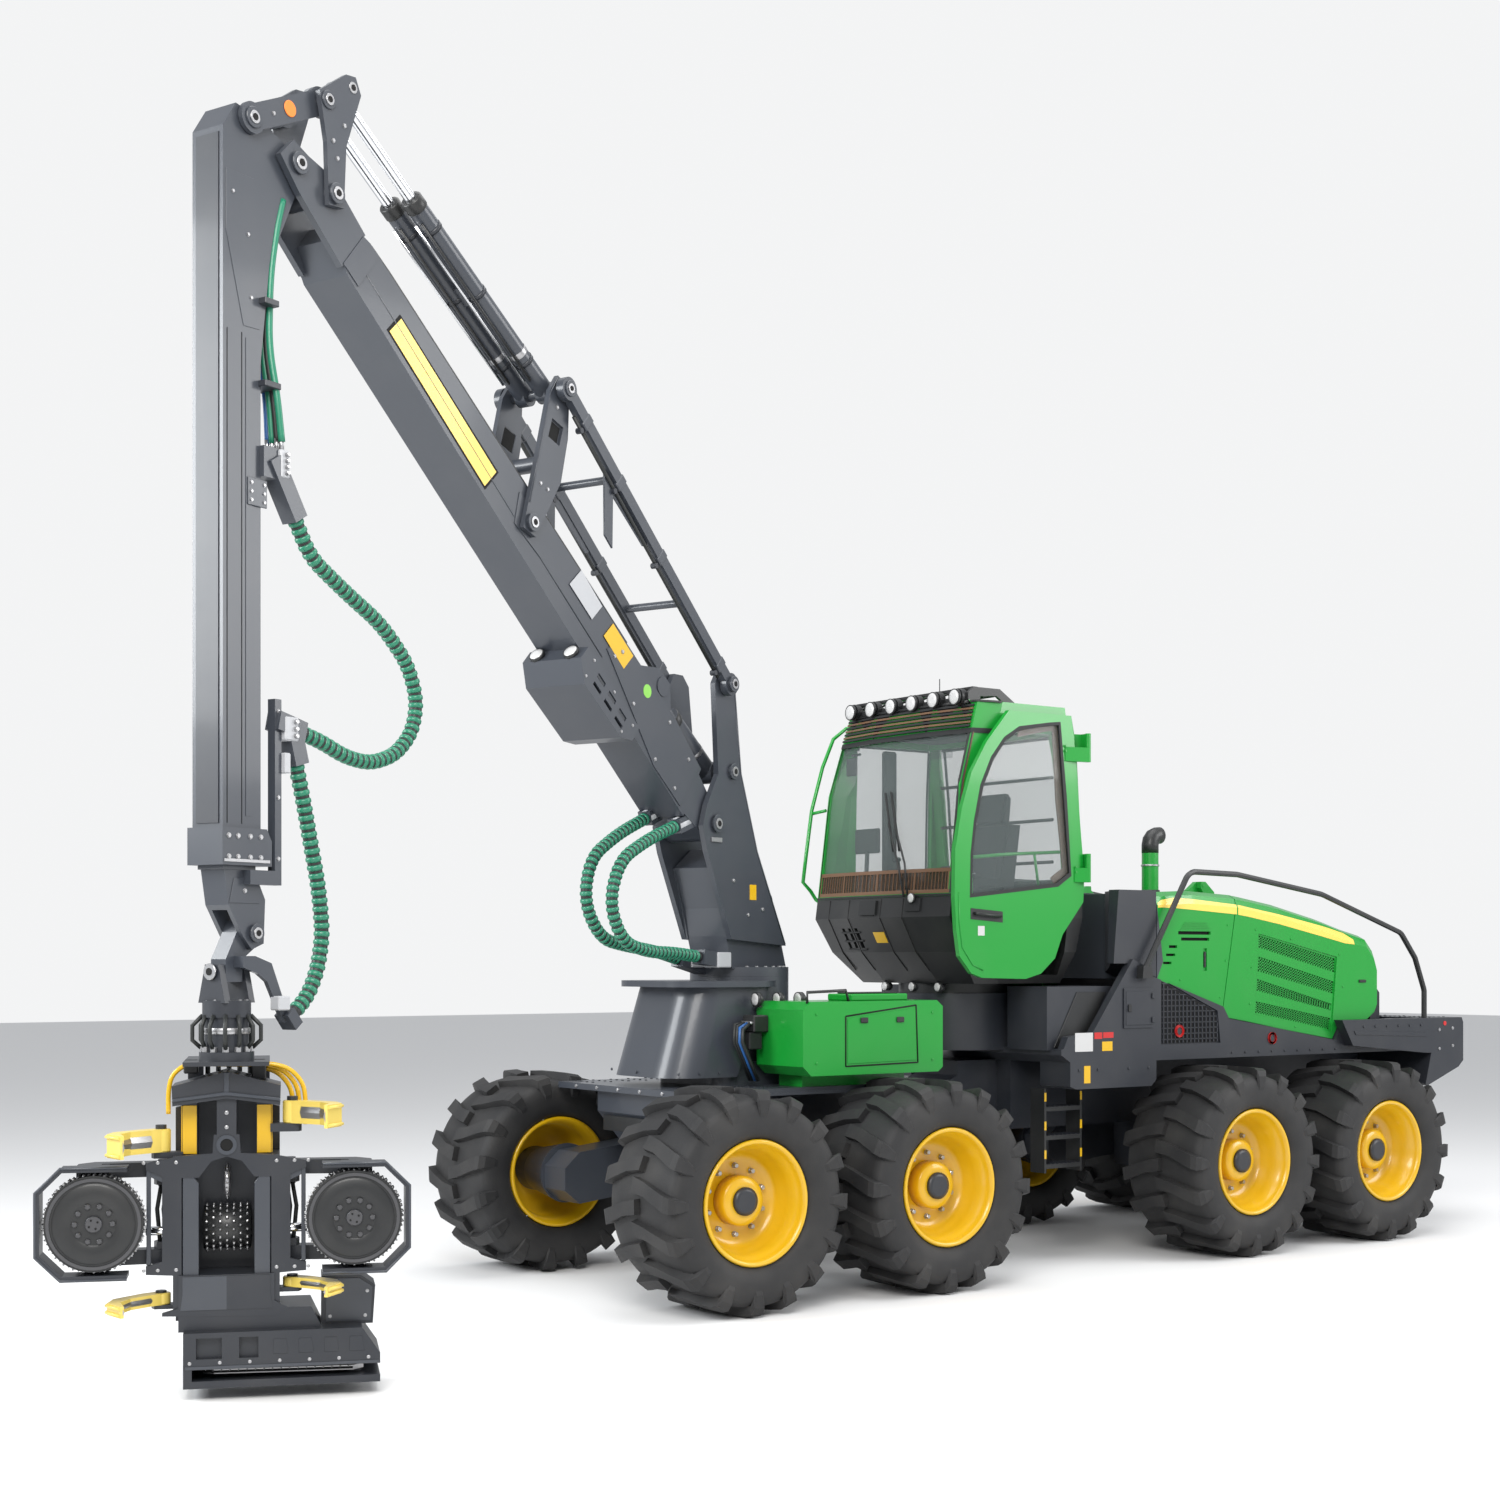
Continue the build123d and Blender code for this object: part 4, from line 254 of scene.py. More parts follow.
# One Blender object put together from simple shapes, each with its own material
class Piece:
    def __init__(self, name, body=None, slot=None):
        self.name, self.body, self.slot = name, body, slot
        self.mesh = bmesh.new()
        self.materials = []

    def paint(self, faces, material):
        if material not in self.materials:
            self.materials.append(material)
        for face in faces:
            face.material_index = self.materials.index(material)

    def loops(self, rings, material, capped=True, smooth=False):
        made = [[self.mesh.verts.new(point) for point in ring] for ring in rings]
        faces = []
        for near, far in zip(made, made[1:]):
            for i in range(len(near)):
                k = (i + 1) % len(near)
                faces.append(self.mesh.faces.new((near[i], near[k], far[k], far[i])))
                faces[-1].smooth = smooth
        if capped:
            faces += [self.mesh.faces.new(made[0][::-1]), self.mesh.faces.new(made[-1])]
        self.paint(faces, material)
        return faces

    # The same, with every face turned outwards
    def skin(self, rings, material, capped=True, smooth=False):
        faces = self.loops(rings, material, capped, smooth)
        bmesh.ops.recalc_face_normals(self.mesh, faces=faces)
        return faces

    def prism(self, plane, outline, low, high, material, bevel=0.0, segments=1):
        rings = [[plane @ Vector((x, y, z)) for x, y in outline] for z in (low, high)]
        faces = self.skin(rings, material)
        if bevel:
            edges = list({edge for face in faces for edge in face.edges})
            made = bmesh.ops.bevel(self.mesh, geom=edges, offset=bevel, segments=segments, affect="EDGES",
                                   clamp_overlap=True)
            self.paint(made["faces"], material)

    def box(self, plane, x, y, z, material, bevel=0.0):
        self.prism(plane, rectangle(*x, *y), *z, material, bevel)

    # A plate that lies on the machine's flank, on the left for side 1
    def flank(self, side, outline, base, depth, material, bevel=0.0):
        self.prism(sidePlane, outline, *outside(-side, base, depth), material, bevel)

    # A plate that lies on the crane's flank, on the right for side 1
    def cheek(self, side, outline, base, depth, material, bevel=0.0):
        self.prism(cranePlane, outline, *outside(side, base, depth), material, bevel)

    def turned(self, plane, centre, profile, material, sides=24, smooth=True, capped=True):
        rings = [[plane @ Vector((x, y, height)) for x, y in ringOf(centre, radius, sides)]
                 for radius, height in profile]
        for face in self.skin(rings, material, capped):
            face.smooth = smooth and len(face.verts) == 4

    def disc(self, plane, centre, radius, low, high, material, sides=24, edge=0.0):
        profile = [(radius, low), (radius, high)]
        if edge:
            profile = [(radius - edge, low), (radius, low + edge), (radius, high - edge), (radius - edge, high)]
        self.turned(plane, centre, profile, material, sides, smooth=False)

    # An open turned shape round the plane's own z
    def band(self, plane, profile, material, sides):
        self.turned(plane, (0, 0), profile, material, sides, capped=False)

    # A flat ring with a hole
    def hoop(self, plane, centre, outer, inner, low, high, material, sides=28):
        self.turned(plane, centre, [(outer, low), (outer, high), (inner, high), (inner, low)], material, sides,
                    smooth=False, capped=False)

    def bolt(self, plane, centre, size, base, material=steel, height=None):
        height = height or size * 0.7
        self.turned(plane, centre, [(size * 1.1, base), (size * 1.1, base + height * 0.25)], material, 12,
                    False)
        self.turned(plane, centre, [(size, base + height * 0.2), (size, base + height * 0.9),
                                    (size * 0.8, base + height)], material, 6, False)

    # Bolts on a plane, or for side -1 on its other face
    def bolts(self, plane, side, centres, size, base, material=steel):
        for x, y in centres:
            if side > 0:
                self.bolt(plane, (x, y), size, base, material)
            else:
                self.bolt(plane @ flip, (x, -y), size, base, material)

    # The ends of one of the crane's pins, with a black disc in the middle as painted shade of the hole there
    def pinCaps(self, centre, reach, radius):
        for side in (-1, 1):
            self.disc(cranePlane, centre, radius, *outside(side, reach, 0.010), charcoal, 28, 0.002)
            self.disc(cranePlane, centre, radius * 0.62, *outside(side, reach + 0.010, 0.006), steel, 24, 0.001)
            self.disc(cranePlane, centre, radius * 0.34, *outside(side, reach + 0.016, 0.002), shadow, 16)

    def lamp(self, plane, centre, radius, base, depth):
        self.turned(plane, centre, [(radius * 0.7, base), (radius, base + depth * 0.3), (radius, base + depth)],
                    black, 28)
        self.turned(plane, centre, [(radius * 0.9, base + depth * 0.9), (radius * 0.86, base + depth * 1.04),
                                    (radius * 0.4, base + depth * 1.15)], white, 28)

    def tube(self, points, radius, material=black, sides=8):
        points = [Vector(point) for point in points]
        side = None
        rings = []
        for i, point in enumerate(points):
            ahead = (points[min(i + 1, len(points) - 1)] - points[max(i - 1, 0)]).normalized()
            if side is None:
                side = ahead.orthogonal().normalized()
            side = (side - ahead * side.dot(ahead)).normalized()
            other = ahead.cross(side)
            thick = radius[i] if isinstance(radius, (list, tuple)) else radius
            rings.append([point + thick * (side * x + other * y) for x, y in ringOf((0, 0), 1, sides)])
        self.loops(rings, material, smooth=True)

    # A tube through points of the machine
    def pipe(self, points, radius, material=black, sides=8):
        self.tube([machineAt(*point) for point in points], radius, material, sides)

    def done(self, replaces=()):
        data = bpy.data.meshes.new(self.name)
        self.mesh.to_mesh(data)
        self.mesh.free()
        for material in self.materials:
            data.materials.append(material)
        made = bpy.data.objects.new(self.name, data)
        bpy.context.collection.objects.link(made)
        if self.body:
            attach(made, self.body)
        if replaces:
            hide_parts(*replaces)
        return made


# Straight runs joined by tangent arcs, as points close together
def rounded(points, share=0.45, arcSteps=8):
    points = [Vector(point) for point in points]
    path = [points[0]]
    for before, corner, after in zip(points, points[1:], points[2:]):
        reach = share * min((corner - before).length, (after - corner).length)
        start = corner + (before - corner).normalized() * reach
        end = corner + (after - corner).normalized() * reach
        turn = (corner - before).angle(after - corner)
        if turn < 0.01:
            path += [start, end]
            continue
        radius = reach / math.tan(turn / 2)
        middle = corner + ((start + end) / 2 - corner).normalized() * math.hypot(radius, reach)
        first, last = start - middle, end - middle
        for step in range(arcSteps + 1):
            angle = turn * step / arcSteps
            path.append(middle + (first * math.sin(turn - angle) + last * math.sin(angle)) / math.sin(turn))
    path.append(points[-1])
    return path


# Points at even steps along a path, with the last point, and the length
def alongPath(path, step):
    marks = [0.0]
    for near, far in zip(path, path[1:]):
        marks.append(marks[-1] + (far - near).length)
    made, i = [], 0
    count = int(marks[-1] / step)
    for n in range(count + 1):
        want = marks[-1] * n / count
        while i < len(marks) - 2 and marks[i + 1] < want:
            i += 1
        share = (want - marks[i]) / max(marks[i + 1] - marks[i], 1e-9)
        made.append(path[i].lerp(path[i + 1], share))
    return made, marks[-1]


# Camera, floor and light
cameraData = bpy.data.cameras.new("camera")
cameraData.lens = camera["lens"]
cameraData.sensor_width = 36
cameraData.shift_y = camera["shift"]
cameraData.clip_end = 200
cameraObject = bpy.data.objects.new("camera", cameraData)
cameraObject.location = machineAt(*camera["place"])
cameraObject.rotation_euler = (math.pi / 2, 0, camera["turn"] - math.pi / 2)
bpy.context.collection.objects.link(cameraObject)
bpy.context.scene.camera = cameraObject
bpy.context.scene.view_settings.view_transform = "Standard"
bpy.context.scene.view_settings.look = "None"


def makeStage():
    ground = bpy.data.meshes.new("floor")
    ground.from_pydata([(-60, -60, 0), (60, -60, 0), (60, 60, 0), (-60, 60, 0)], [], [(0, 1, 2, 3)])
    ground.materials.append(makeMaterial("floor_pale", (0.80, 0.80, 0.80), 0.9))
    floor = bpy.data.objects.new("floor", ground)
    bpy.context.collection.objects.link(floor)
    # columns: name, place, what it looks at, size, power, colour
    lights = (
        ("key", (7, 9, 9), (1, 0.5, 2), 6.0, 1250, (1.0, 0.98, 0.95)),
        ("left_side", (10, -2, 6), (2, 0, 3), 4.0, 800, (0.95, 0.98, 1.0)),
        ("rear_fill", (-10, 8, 7), (-3, 0, 1.5), 6.0, 700, (1.0, 1.0, 1.0)),
        ("top", (-2, 1, 12), (-2, 1, 0), 9.0, 700, (1.0, 1.0, 1.0)),
    )
    for name, place, target, size, power, colour in lights:
        data = bpy.data.lights.new(name, "AREA")
        data.size = size
        data.energy = power
        data.color = colour
        lamp = bpy.data.objects.new(name, data)
        lamp.location = machineAt(*place)
        lamp.rotation_euler = (machineAt(*target) - lamp.location).to_track_quat("-Z", "Y").to_euler()
        bpy.context.collection.objects.link(lamp)
    world = bpy.data.worlds.new("studio")
    world.use_nodes = True
    nodes, links = world.node_tree.nodes, world.node_tree.links
    lighting, output = nodes["Background"], nodes["World Output"]
    lighting.inputs["Color"].default_value = (0.92, 0.94, 0.97, 1)
    lighting.inputs["Strength"].default_value = 0.66
    # the camera itself sees a paler backdrop than the one that lights the machine
    backdrop, mix = nodes.new("ShaderNodeBackground"), nodes.new("ShaderNodeMixShader")
    sight = nodes.new("ShaderNodeLightPath")
    backdrop.inputs["Color"].default_value = (0.90, 0.905, 0.91, 1)
    links.new(sight.outputs["Is Camera Ray"], mix.inputs["Fac"])
    links.new(lighting.outputs["Background"], mix.inputs[1])
    links.new(backdrop.outputs["Background"], mix.inputs[2])
    links.new(mix.outputs["Shader"], output.inputs["Surface"])
    bpy.context.scene.world = world


makeStage()
print("stage set")


# Hoses. Points are out from the slewing axis and up, on the crane's plane, at a distance to the right of it.
# columns: node, the two bodies, distance to the right, points
hoseRoutes = (
    ("hose_column_right", "boom", "crane_column", 0.1,
     ((0.960, 3.000), (1.250, 2.890), (1.540, 2.730), (1.610, 2.460), (1.440, 2.235), (1.150, 2.190),
      (0.870, 2.165), (0.590, 2.110))),
    ("hose_column_left", "boom", "crane_column", -0.1,
     ((0.925, 2.945), (1.215, 2.850), (1.515, 2.710), (1.625, 2.450), (1.490, 2.215), (1.215, 2.155),
      (0.930, 2.150), (0.645, 2.125))),
    ("hose_jib", "jib", "extension", -0.1,
     ((4.278, 4.282), (4.173, 4.116), (3.921, 3.979), (3.643, 3.848), (3.440, 3.664), (3.368, 3.480),
      (3.408, 3.310), (3.542, 3.180), (3.734, 3.120), (3.921, 3.139), (4.090, 3.200), (4.243, 3.235))),
    ("hose_head", "extension", "hanger", -0.1,
     ((4.271, 3.071), (4.222, 2.901), (4.173, 2.704), (4.110, 2.456), (4.085, 2.230), (4.120, 2.060),
      (4.190, 1.925), (4.300, 1.835))),
)


def makeHose(node, near, far, right, points):
    path, length = alongPath(rounded([onCrane(out, up, right) for out, up in points]), hose["pitch"] / 6)
    steps = len(path)
    thin, thick = hose["core"], hose["radius"]
    core = Piece(node, None, "hose")
    core.tube(path[::3] + ([path[-1]] if (steps - 1) % 3 else []), thin, hoseBlack, hose["sides"])
    for cuff in range(0, steps - 4, 6):
        core.tube(path[cuff:cuff + 5], [thin, thick, thick, thick, thin], hoseGreen, hose["sides"])
    made = core.done([node])
    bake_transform(made)


for route in hoseRoutes:
    makeHose(*route)
print("hoses made")


# Tyres, one mesh for all eight
def tyreMesh():
    half, root, tip, steps = tyre["width"] / 2, tyre["root"], tyre["radius"], tyre["steps"]
    # columns: distance from the tyre's middle as a share of half the width, radius
    profile = [(0.72, 0.372), (0.86, 0.380), (0.95, 0.41), (1.0, 0.47), (1.005, 0.53), (0.985, 0.575),
               (0.93, 0.605), (0.80, root - 0.014), (0.5, root - 0.003), (0.0, root)]
    profile += [(-y, r) for y, r in profile[-2::-1]]
    made = Piece("tyre")
    made.skin([[Vector((x, y * half, z)) for x, z in ringOf((0, 0), r, steps)] for y, r in profile], rubber,
              capped=False, smooth=True)
    pitch = 2 * math.pi / tyre["lugs"]
    # columns: share of half the width, base and top radius, turn and half length as shares of the pitch
    stations = ((-0.06, root - 0.004, tip, 0.02, 0.17), (0.30, root - 0.006, tip - 0.0005, 0.10, 0.155),
                (0.62, root - 0.012, tip - 0.002, 0.24, 0.165), (0.88, root - 0.03, tip - 0.006, 0.36, 0.18),
                (0.985, 0.60, tip - 0.022, 0.40, 0.18), (1.0, 0.555, 0.61, 0.42, 0.15),
                (0.995, 0.50, 0.535, 0.43, 0.10))
    for side in (-1, 1):
        for lug in range(tyre["lugs"]):
            rings = []
            for y, base, top, turn, length in stations:
                middle = lug + (0.5 if side > 0 else 0) - turn
                ring = []
                for r, shift in ((base, -length * 1.15), (top, -length), (top, length), (base, length * 1.15)):
                    a = (middle + shift) * pitch
                    push = 0.012 if y > 0.99 and r > base else 0
                    ring.append(Vector((r * math.cos(a), side * (y * half + push), r * math.sin(a))))
                rings.append(ring)
            made.skin(rings, rubber)
    return made.done()


def rimMesh():
    half = tyre["width"] / 2 - 0.045
    made = Piece("rim")
    flat = Matrix.Rotation(-math.pi / 2, 4, "X")  # its z points outwards on a left wheel
    # columns: radius, distance outwards from the tyre's middle
    outer = [(0.352, half - 0.02), (0.372, half - 0.012), (0.378, half), (0.368, half + 0.010),
             (0.352, half + 0.006), (0.343, half - 0.02), (0.335, half - 0.05), (0.318, half - 0.065),
             (0.314, half - 0.13), (0.300, half - 0.15), (0.290, 0.115), (0.262, 0.085), (0.235, 0.078),
             (0.150, 0.078)]
    made.band(flat, outer, yellow, 64)
    made.turned(flat, (0, 0), [(0.150, 0.075), (0.150, 0.165), (0.138, 0.180), (0.10, 0.186)], yellow, 40)
    made.turned(flat, (0, 0), [(0.085, 0.186), (0.085, 0.205), (0.06, 0.215)], darkFrame, 24)
    for centre in ringOf((0, 0), 0.205, 10, math.pi / 10):
        made.bolt(flat, centre, 0.016, 0.078, steel, 0.03)
    inner = [(0.150, 0.04), (0.30, 0.04), (0.315, 0.1 - half), (0.35, -half), (0.372, -half),
             (0.372, 0.02 - half)]
    made.band(flat, inner, yellow, 48)
    return made.done()


def placeWheels():
    masters = {"tyre": tyreMesh(), "rim": rimMesh()}
    for wheel in wheels:
        low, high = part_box("rim_" + wheel)
        for kind, master in masters.items():
            made = bpy.data.objects.new(f"{kind}_{wheel}_shape", master.data)
            made.location = (low + high) / 2
            if "right" in wheel:
                made.rotation_euler = (0, 0, math.pi)
            bpy.context.collection.objects.link(made)
            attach(made, "wheel_" + wheel)
            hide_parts(f"{kind}_{wheel}")
    for master in masters.values():
        bpy.data.objects.remove(master)


placeWheels()
print("wheels placed")

# Engine covers: the stripe over the seam, the mesh and the louvres
# columns: x, lower edge, upper edge, the cover's top there
stripeStations = {
    "rear": ((-3.872, 2.478, 2.512, 2.5904), (-3.920, 2.480, 2.534, 2.5926), (-4.050, 2.477, 2.553, 2.598),
             (-4.241, 2.467, 2.545, 2.607), (-4.700, 2.440, 2.512, 2.5854)),
    "hood": ((-4.716, 2.438, 2.511, 2.584), (-4.830, 2.424, 2.494, 2.569), (-5.174, 2.372, 2.446, 2.519),
             (-5.658, 2.284, 2.366, 2.419), (-5.773, 2.262, 2.344, 2.391), (-5.930, 2.232, 2.310, 2.350),
             (-6.040, 2.224, 2.262, 2.323)),
}
shoulderDrop, shoulderSlope = 0.095, 24 / 63


def shellPoint(side, x, z, top, lift):
    inwards = max(0.0, z - (top - shoulderDrop)) * shoulderSlope
    return machineAt(x, side * (hoodHalf - inwards + lift), z)


def makeStripe(body):
    made = Piece(f"{body}_stripe", body, "green")
    for side in (-1, 1):
        rings = []
        for x, low, high, top in stripeStations[body]:
            middle = min(max(top - shoulderDrop, low + 0.004), high - 0.004)
            rings.append([shellPoint(side, x, z, top, 0.0015) for z in (low, middle, high)]
                         + [shellPoint(side, x, z, top, -0.004) for z in (high, middle, low)])
        made.skin(rings, stripeYellow)
    made.done()


makeStripe("rear")
makeStripe("hood")

# columns: front upper, rear upper, front lower and rear lower corner of each row of slots
meshRows = (
    ((-4.950, 2.287), (-5.820, 2.114), (-4.950, 2.197), (-5.815, 2.008)),
    ((-4.950, 2.130), (-5.805, 1.938), (-4.940, 2.020), (-5.795, 1.846)),
    ((-4.935, 1.962), (-5.780, 1.767), (-4.928, 1.876), (-5.770, 1.717)),
    ((-4.922, 1.796), (-5.765, 1.658), (-4.912, 1.712), (-5.752, 1.572)),
)


def makeHoodMesh():
    made = Piece("hood_mesh", "hood", "green")
    wide, thick = Vector((0.008, 0)), Vector((0, 0.005))
    meshBase = hoodHalf - 0.022
    for side in (-1, 1):
        # a black sheet behind the slots: painted shade of the space under the hood
        made.flank(side, [(-4.925, 2.292), (-5.828, 2.112), (-5.772, 1.560), (-4.905, 1.702)],
                   hoodHalf - 0.026, 0.003, shadow)
        for row in meshRows:
            frontHigh, rearHigh, frontLow, rearLow = [Vector(corner) for corner in row]
            for i in range(1, 30):
                top, foot = frontHigh.lerp(rearHigh, i / 30), frontLow.lerp(rearLow, i / 30)
                made.flank(side, [top - wide, top + wide, foot + wide, foot - wide], meshBase, 0.008, meshGreen)
            for i in range(1, 5):
                front, rear = frontHigh.lerp(frontLow, i / 5), rearHigh.lerp(rearLow, i / 5)
                made.flank(side, [front - thick, front + thick, rear + thick, rear - thick], meshBase, 0.008,
                           meshGreen)
        # quarter-turn fasteners round the mesh and the seam, and a handle on the rear corner
        made.bolts(sidePlane, -side, ((-4.905, 2.33), (-5.30, 2.262), (-5.86, 2.145), (-5.90, 1.90),
                                      (-4.86, 2.05), (-4.84, 1.78), (-5.35, 1.60)), 0.007, hoodHalf, green)
        made.flank(side, rectangle(-6.17, -6.09, 1.93, 1.95), hoodHalf, 0.012, black, 0.003)
    made.done()


def makeCowlDetails():
    made = Piece("cowl_details", "rear", "green")
    for side in (-1, 1):
        # a black sheet set inside the flank's opening: painted shade of the space behind it
        made.flank(side, [(-4.43, 2.32), (-4.07, 2.32), (-3.91, 2.22), (-3.91, 2.06), (-4.02, 2.06),
                          (-4.43, 2.235)], hoodHalf - 0.026, 0.004, shadow)
        made.flank(side, rectangle(-4.368, -4.352, 2.05, 2.165), hoodHalf - 0.010, 0.014, black, 0.003)
        made.bolts(sidePlane, -side, ((-4.60, 2.36), (-4.58, 2.10), (-4.52, 1.83), (-4.10, 1.96),
                                      (-3.93, 2.35)), 0.007, hoodHalf, green)
        for i in range(5):
            z = 2.325 + i * 0.0125
            made.flank(side, rectangle(-4.41 + i * 0.008, -4.10 - i * 0.01, *about(z, 0.002)), hoodHalf, 0.004,
                       green)
    # the bent tip of the exhaust, with a black plug in its mouth as painted shade, and its collars
    bend = [(-4.31, 2.90), (-4.31, 2.96), (-4.318, 2.995), (-4.340, 3.020), (-4.372, 3.032), (-4.41, 3.035)]
    made.pipe([(x, 0.48, z) for x, z in bend], 0.063, black, 24)
    made.pipe([(-4.4105, 0.48, 3.035), (-4.412, 0.48, 3.035)], 0.056, shadow, 24)
    made.disc(levelPlane, (-4.31, 0.48), 0.072, 2.60, 2.625, black, 28, 0.004)
    made.disc(levelPlane, (-4.31, 0.48), 0.068, 2.80, 2.815, steel, 28, 0.003)
    # filler cap and the intake's cap
    made.disc(levelPlane, (-4.15, -0.42), 0.075, 2.598, 2.64, black, 28, 0.008)
    made.disc(levelPlane, (-4.12, -0.05), 0.10, 2.597, 2.61, charcoal, 28, 0.003)
    made.done()


makeHoodMesh()
makeCowlDetails()
print("covers detailed")


# Rear frame: grille, small door, stickers without text, rings, bolts, lights
def makeRearDetails():
    made = Piece("rear_frame_details", "rear", "charcoal")
    for side in (-1, 1):
        # a black sheet behind the grille's bars: painted shade of the space behind them
        made.flank(side, [(-3.890, 1.955), (-4.458, 1.728), (-4.488, 1.508), (-3.890, 1.508)], 0.983, 0.002,
                   shadow)
        for i in range(15):
            x = -3.91 - i * 0.04
            made.flank(side, rectangle(*about(x, 0.005), 1.51, 1.94 + (x + 3.89) * 0.40), 0.985, 0.010,
                       darkFrame)
        for i in range(11):
            z = 1.535 + i * 0.04
            rear = -4.478 if z < 1.70 else max(-4.478, -3.90 - (1.95 - z) / 0.40)
            made.flank(side, rectangle(rear, -3.895, *about(z, 0.004)), 0.985, 0.010, darkFrame)
        # frame round the small door, with its latch and hinges
        made.flank(side, rectangle(-3.775, -3.515, 1.645, 1.885), 1.010, 0.004, darkFrame, 0.002)
        made.flank(side, rectangle(-3.56, -3.53, 1.74, 1.79), 1.014, 0.012, black, 0.003)
        for z in (1.68, 1.85):
            made.flank(side, rectangle(-3.79, -3.765, *about(z, 0.02)), 1.014, 0.012, darkFrame, 0.003)
        # tie rings
        for centre in ((-4.061, 1.594), (-5.058, 1.522)):
            made.hoop(sidePlane, centre, 0.045, 0.028, *outside(-side, wallHalf, 0.010), red)
            made.disc(sidePlane, centre, 0.028, *outside(-side, wallHalf, 0.004), darkFrame, 20)
        # stickers, left blank
        for left, right, low, high, material in (
                (-3.20, -3.03, 1.47, 1.60, white), (-3.29, -3.215, 1.555, 1.60, red),
                (-3.40, -3.30, 1.56, 1.60, red), (-3.39, -3.29, 1.47, 1.535, yellow),
                (-3.175, -3.115, 1.25, 1.37, yellow)):
            made.flank(side, rectangle(left, right, low, high), wallHalf + (0 if low > 1.4 else 0.0005), 0.0015,
                       material)
        # bolts along the wall's foot and on the beam
        made.bolts(sidePlane, -side, [(-4.62 - i * 0.145, 1.425) for i in range(9)], 0.009, wallHalf,
                   darkFrame)
        made.bolts(sidePlane, -side, [(x, 1.34) for x in (-3.07, -3.25, -3.55, -3.75)], 0.010, wallHalf,
                   darkFrame)
        # the bumper's band: edge strip, bolts and rear lights
        made.flank(side, [(-5.90, 1.56), (-6.78, 1.53), (-6.78, 1.50), (-5.92, 1.53)], bumperHalf, 0.006,
                   darkFrame, 0.002)
        made.bolts(sidePlane, -side, [(-6.02 - i * 0.14, 1.59) for i in range(6)], 0.010, bumperHalf,
                   darkFrame)
        made.bolts(sidePlane, -side, ((-6.95, 1.55), (-7.12, 1.56), (-6.95, 1.40), (-7.12, 1.42)), 0.012,
                   bumperHalf)
        made.disc(sidePlane, (-7.02, 1.60), 0.018, *outside(-side, bumperHalf, 0.004), red, 20)
        made.box(crossPlane, about(side * 0.86, 0.11), (1.50, 1.58), (-7.285, -7.262), black, 0.004)
        for y, material in ((0.92, red), (0.81, orange)):
            made.box(crossPlane, about(side * y, 0.045), (1.508, 1.572), (-7.292, -7.284), material, 0.003)
        # the cover behind the steps
        made.flank(side, [(-2.92, 1.50), (-3.14, 1.88), (-3.42, 1.88), (-3.19, 1.50)], 0.90, 0.008, black,
                   0.002)
    # hand holds and catch on the box behind the hood
    for y in (-0.35, 0.35):
        made.box(levelPlane, (-6.69, -6.63), about(y, 0.08), (1.88, 1.905), black, 0.006)
    made.bolts(crossPlane, -1, [(y, 1.80) for y in (-0.55, -0.2, 0.2, 0.55)], 0.010, 6.8, darkFrame)
    # ribs across the tail, its towing eye's collar and the non-slip studs on its top
    for y in (-0.7, -0.45, 0.45, 0.7):
        made.box(crossPlane, about(y, 0.012), (1.32, 1.60), (-7.268, -7.258), darkFrame)
    made.hoop(levelPlane, (-7.17, 0), 0.060, 0.031, 1.645, 1.653, steel)
    for i in range(6):
        for k in range(11):
            y = -0.95 + k * 0.19
            if abs(y) > 0.1:
                made.disc(levelPlane, (-6.88 - i * 0.06, y), 0.010, 1.645, 1.649, darkFrame, 6)
    made.done()
    made = Piece("ladder_details", "rear", "black")
    for z in (0.665, 0.865, 1.065):
        for i in range(9):
            made.box(levelPlane, about(-3.28 + i * 0.04, 0.004), (0.66, 0.785), (z + 0.015, z + 0.021),
                     darkFrame)
    for x in (-3.291, -2.949):
        for z in (0.75, 0.95, 1.15):
            made.box(crossPlane, (0.789, 0.792), about(z, 0.03), about(x, 0.009), yellow)
    made.done()


makeRearDetails()
print("rear frame detailed")


# Cab: seals, handle, lamps, rack, wipers, trim, seat and controls
doorWindow = ((-0.373, 2.693), (-0.331, 3.224), (-0.268, 3.766), (-0.165, 3.755), (0.121, 3.711),
              (0.261, 3.628), (0.380, 3.488), (0.478, 3.291), (0.537, 3.039), (0.566, 2.818), (0.572, 2.525),
              (-0.247, 2.615))
frontPath = ((0.45, 0.775), (0.67, 0.745), (0.72, 0.30), (0.72, -0.30), (0.67, -0.745), (0.45, -0.775))
frontPathAbove = ((0.38, 0.759), (0.58, 0.729), (0.635, 0.30), (0.635, -0.30), (0.58, -0.729), (0.38, -0.759))
frontPathRoof = ((0.20, 0.735), (0.40, 0.705), (0.455, 0.30), (0.455, -0.30), (0.40, -0.705), (0.20, -0.735))


# A point on the cab's front, from the share along its outline, the height and the distance out
def onFront(across, z, lift=0.0):
    if z <= bendUp:
        share, low, high = (z - sillUp) / (bendUp - sillUp), frontPath, frontPathAbove
    else:
        share, low, high = (z - bendUp) / (roofUp - bendUp), frontPathAbove, frontPathRoof
    place = min(max(across, 0), 4.999)
    i, part = int(place), place - int(place)
    start, end = [Vector(low[k]).lerp(Vector(high[k]), share) for k in (i, i + 1)]
    point, run = start.lerp(end, part), (end - start).normalized()
    return machineAt(cabX + point.x - run.y * lift, point.y + run.x * lift, z)


# A strip across the cab's front between two heights
def frontStrip(piece, places, zLow, zHigh, lift, depth, material):
    corners = ((zLow, lift + depth), (zHigh, lift + depth), (zHigh, lift), (zLow, lift))
    piece.skin([[onFront(place, z, out) for z, out in corners] for place in places], material)


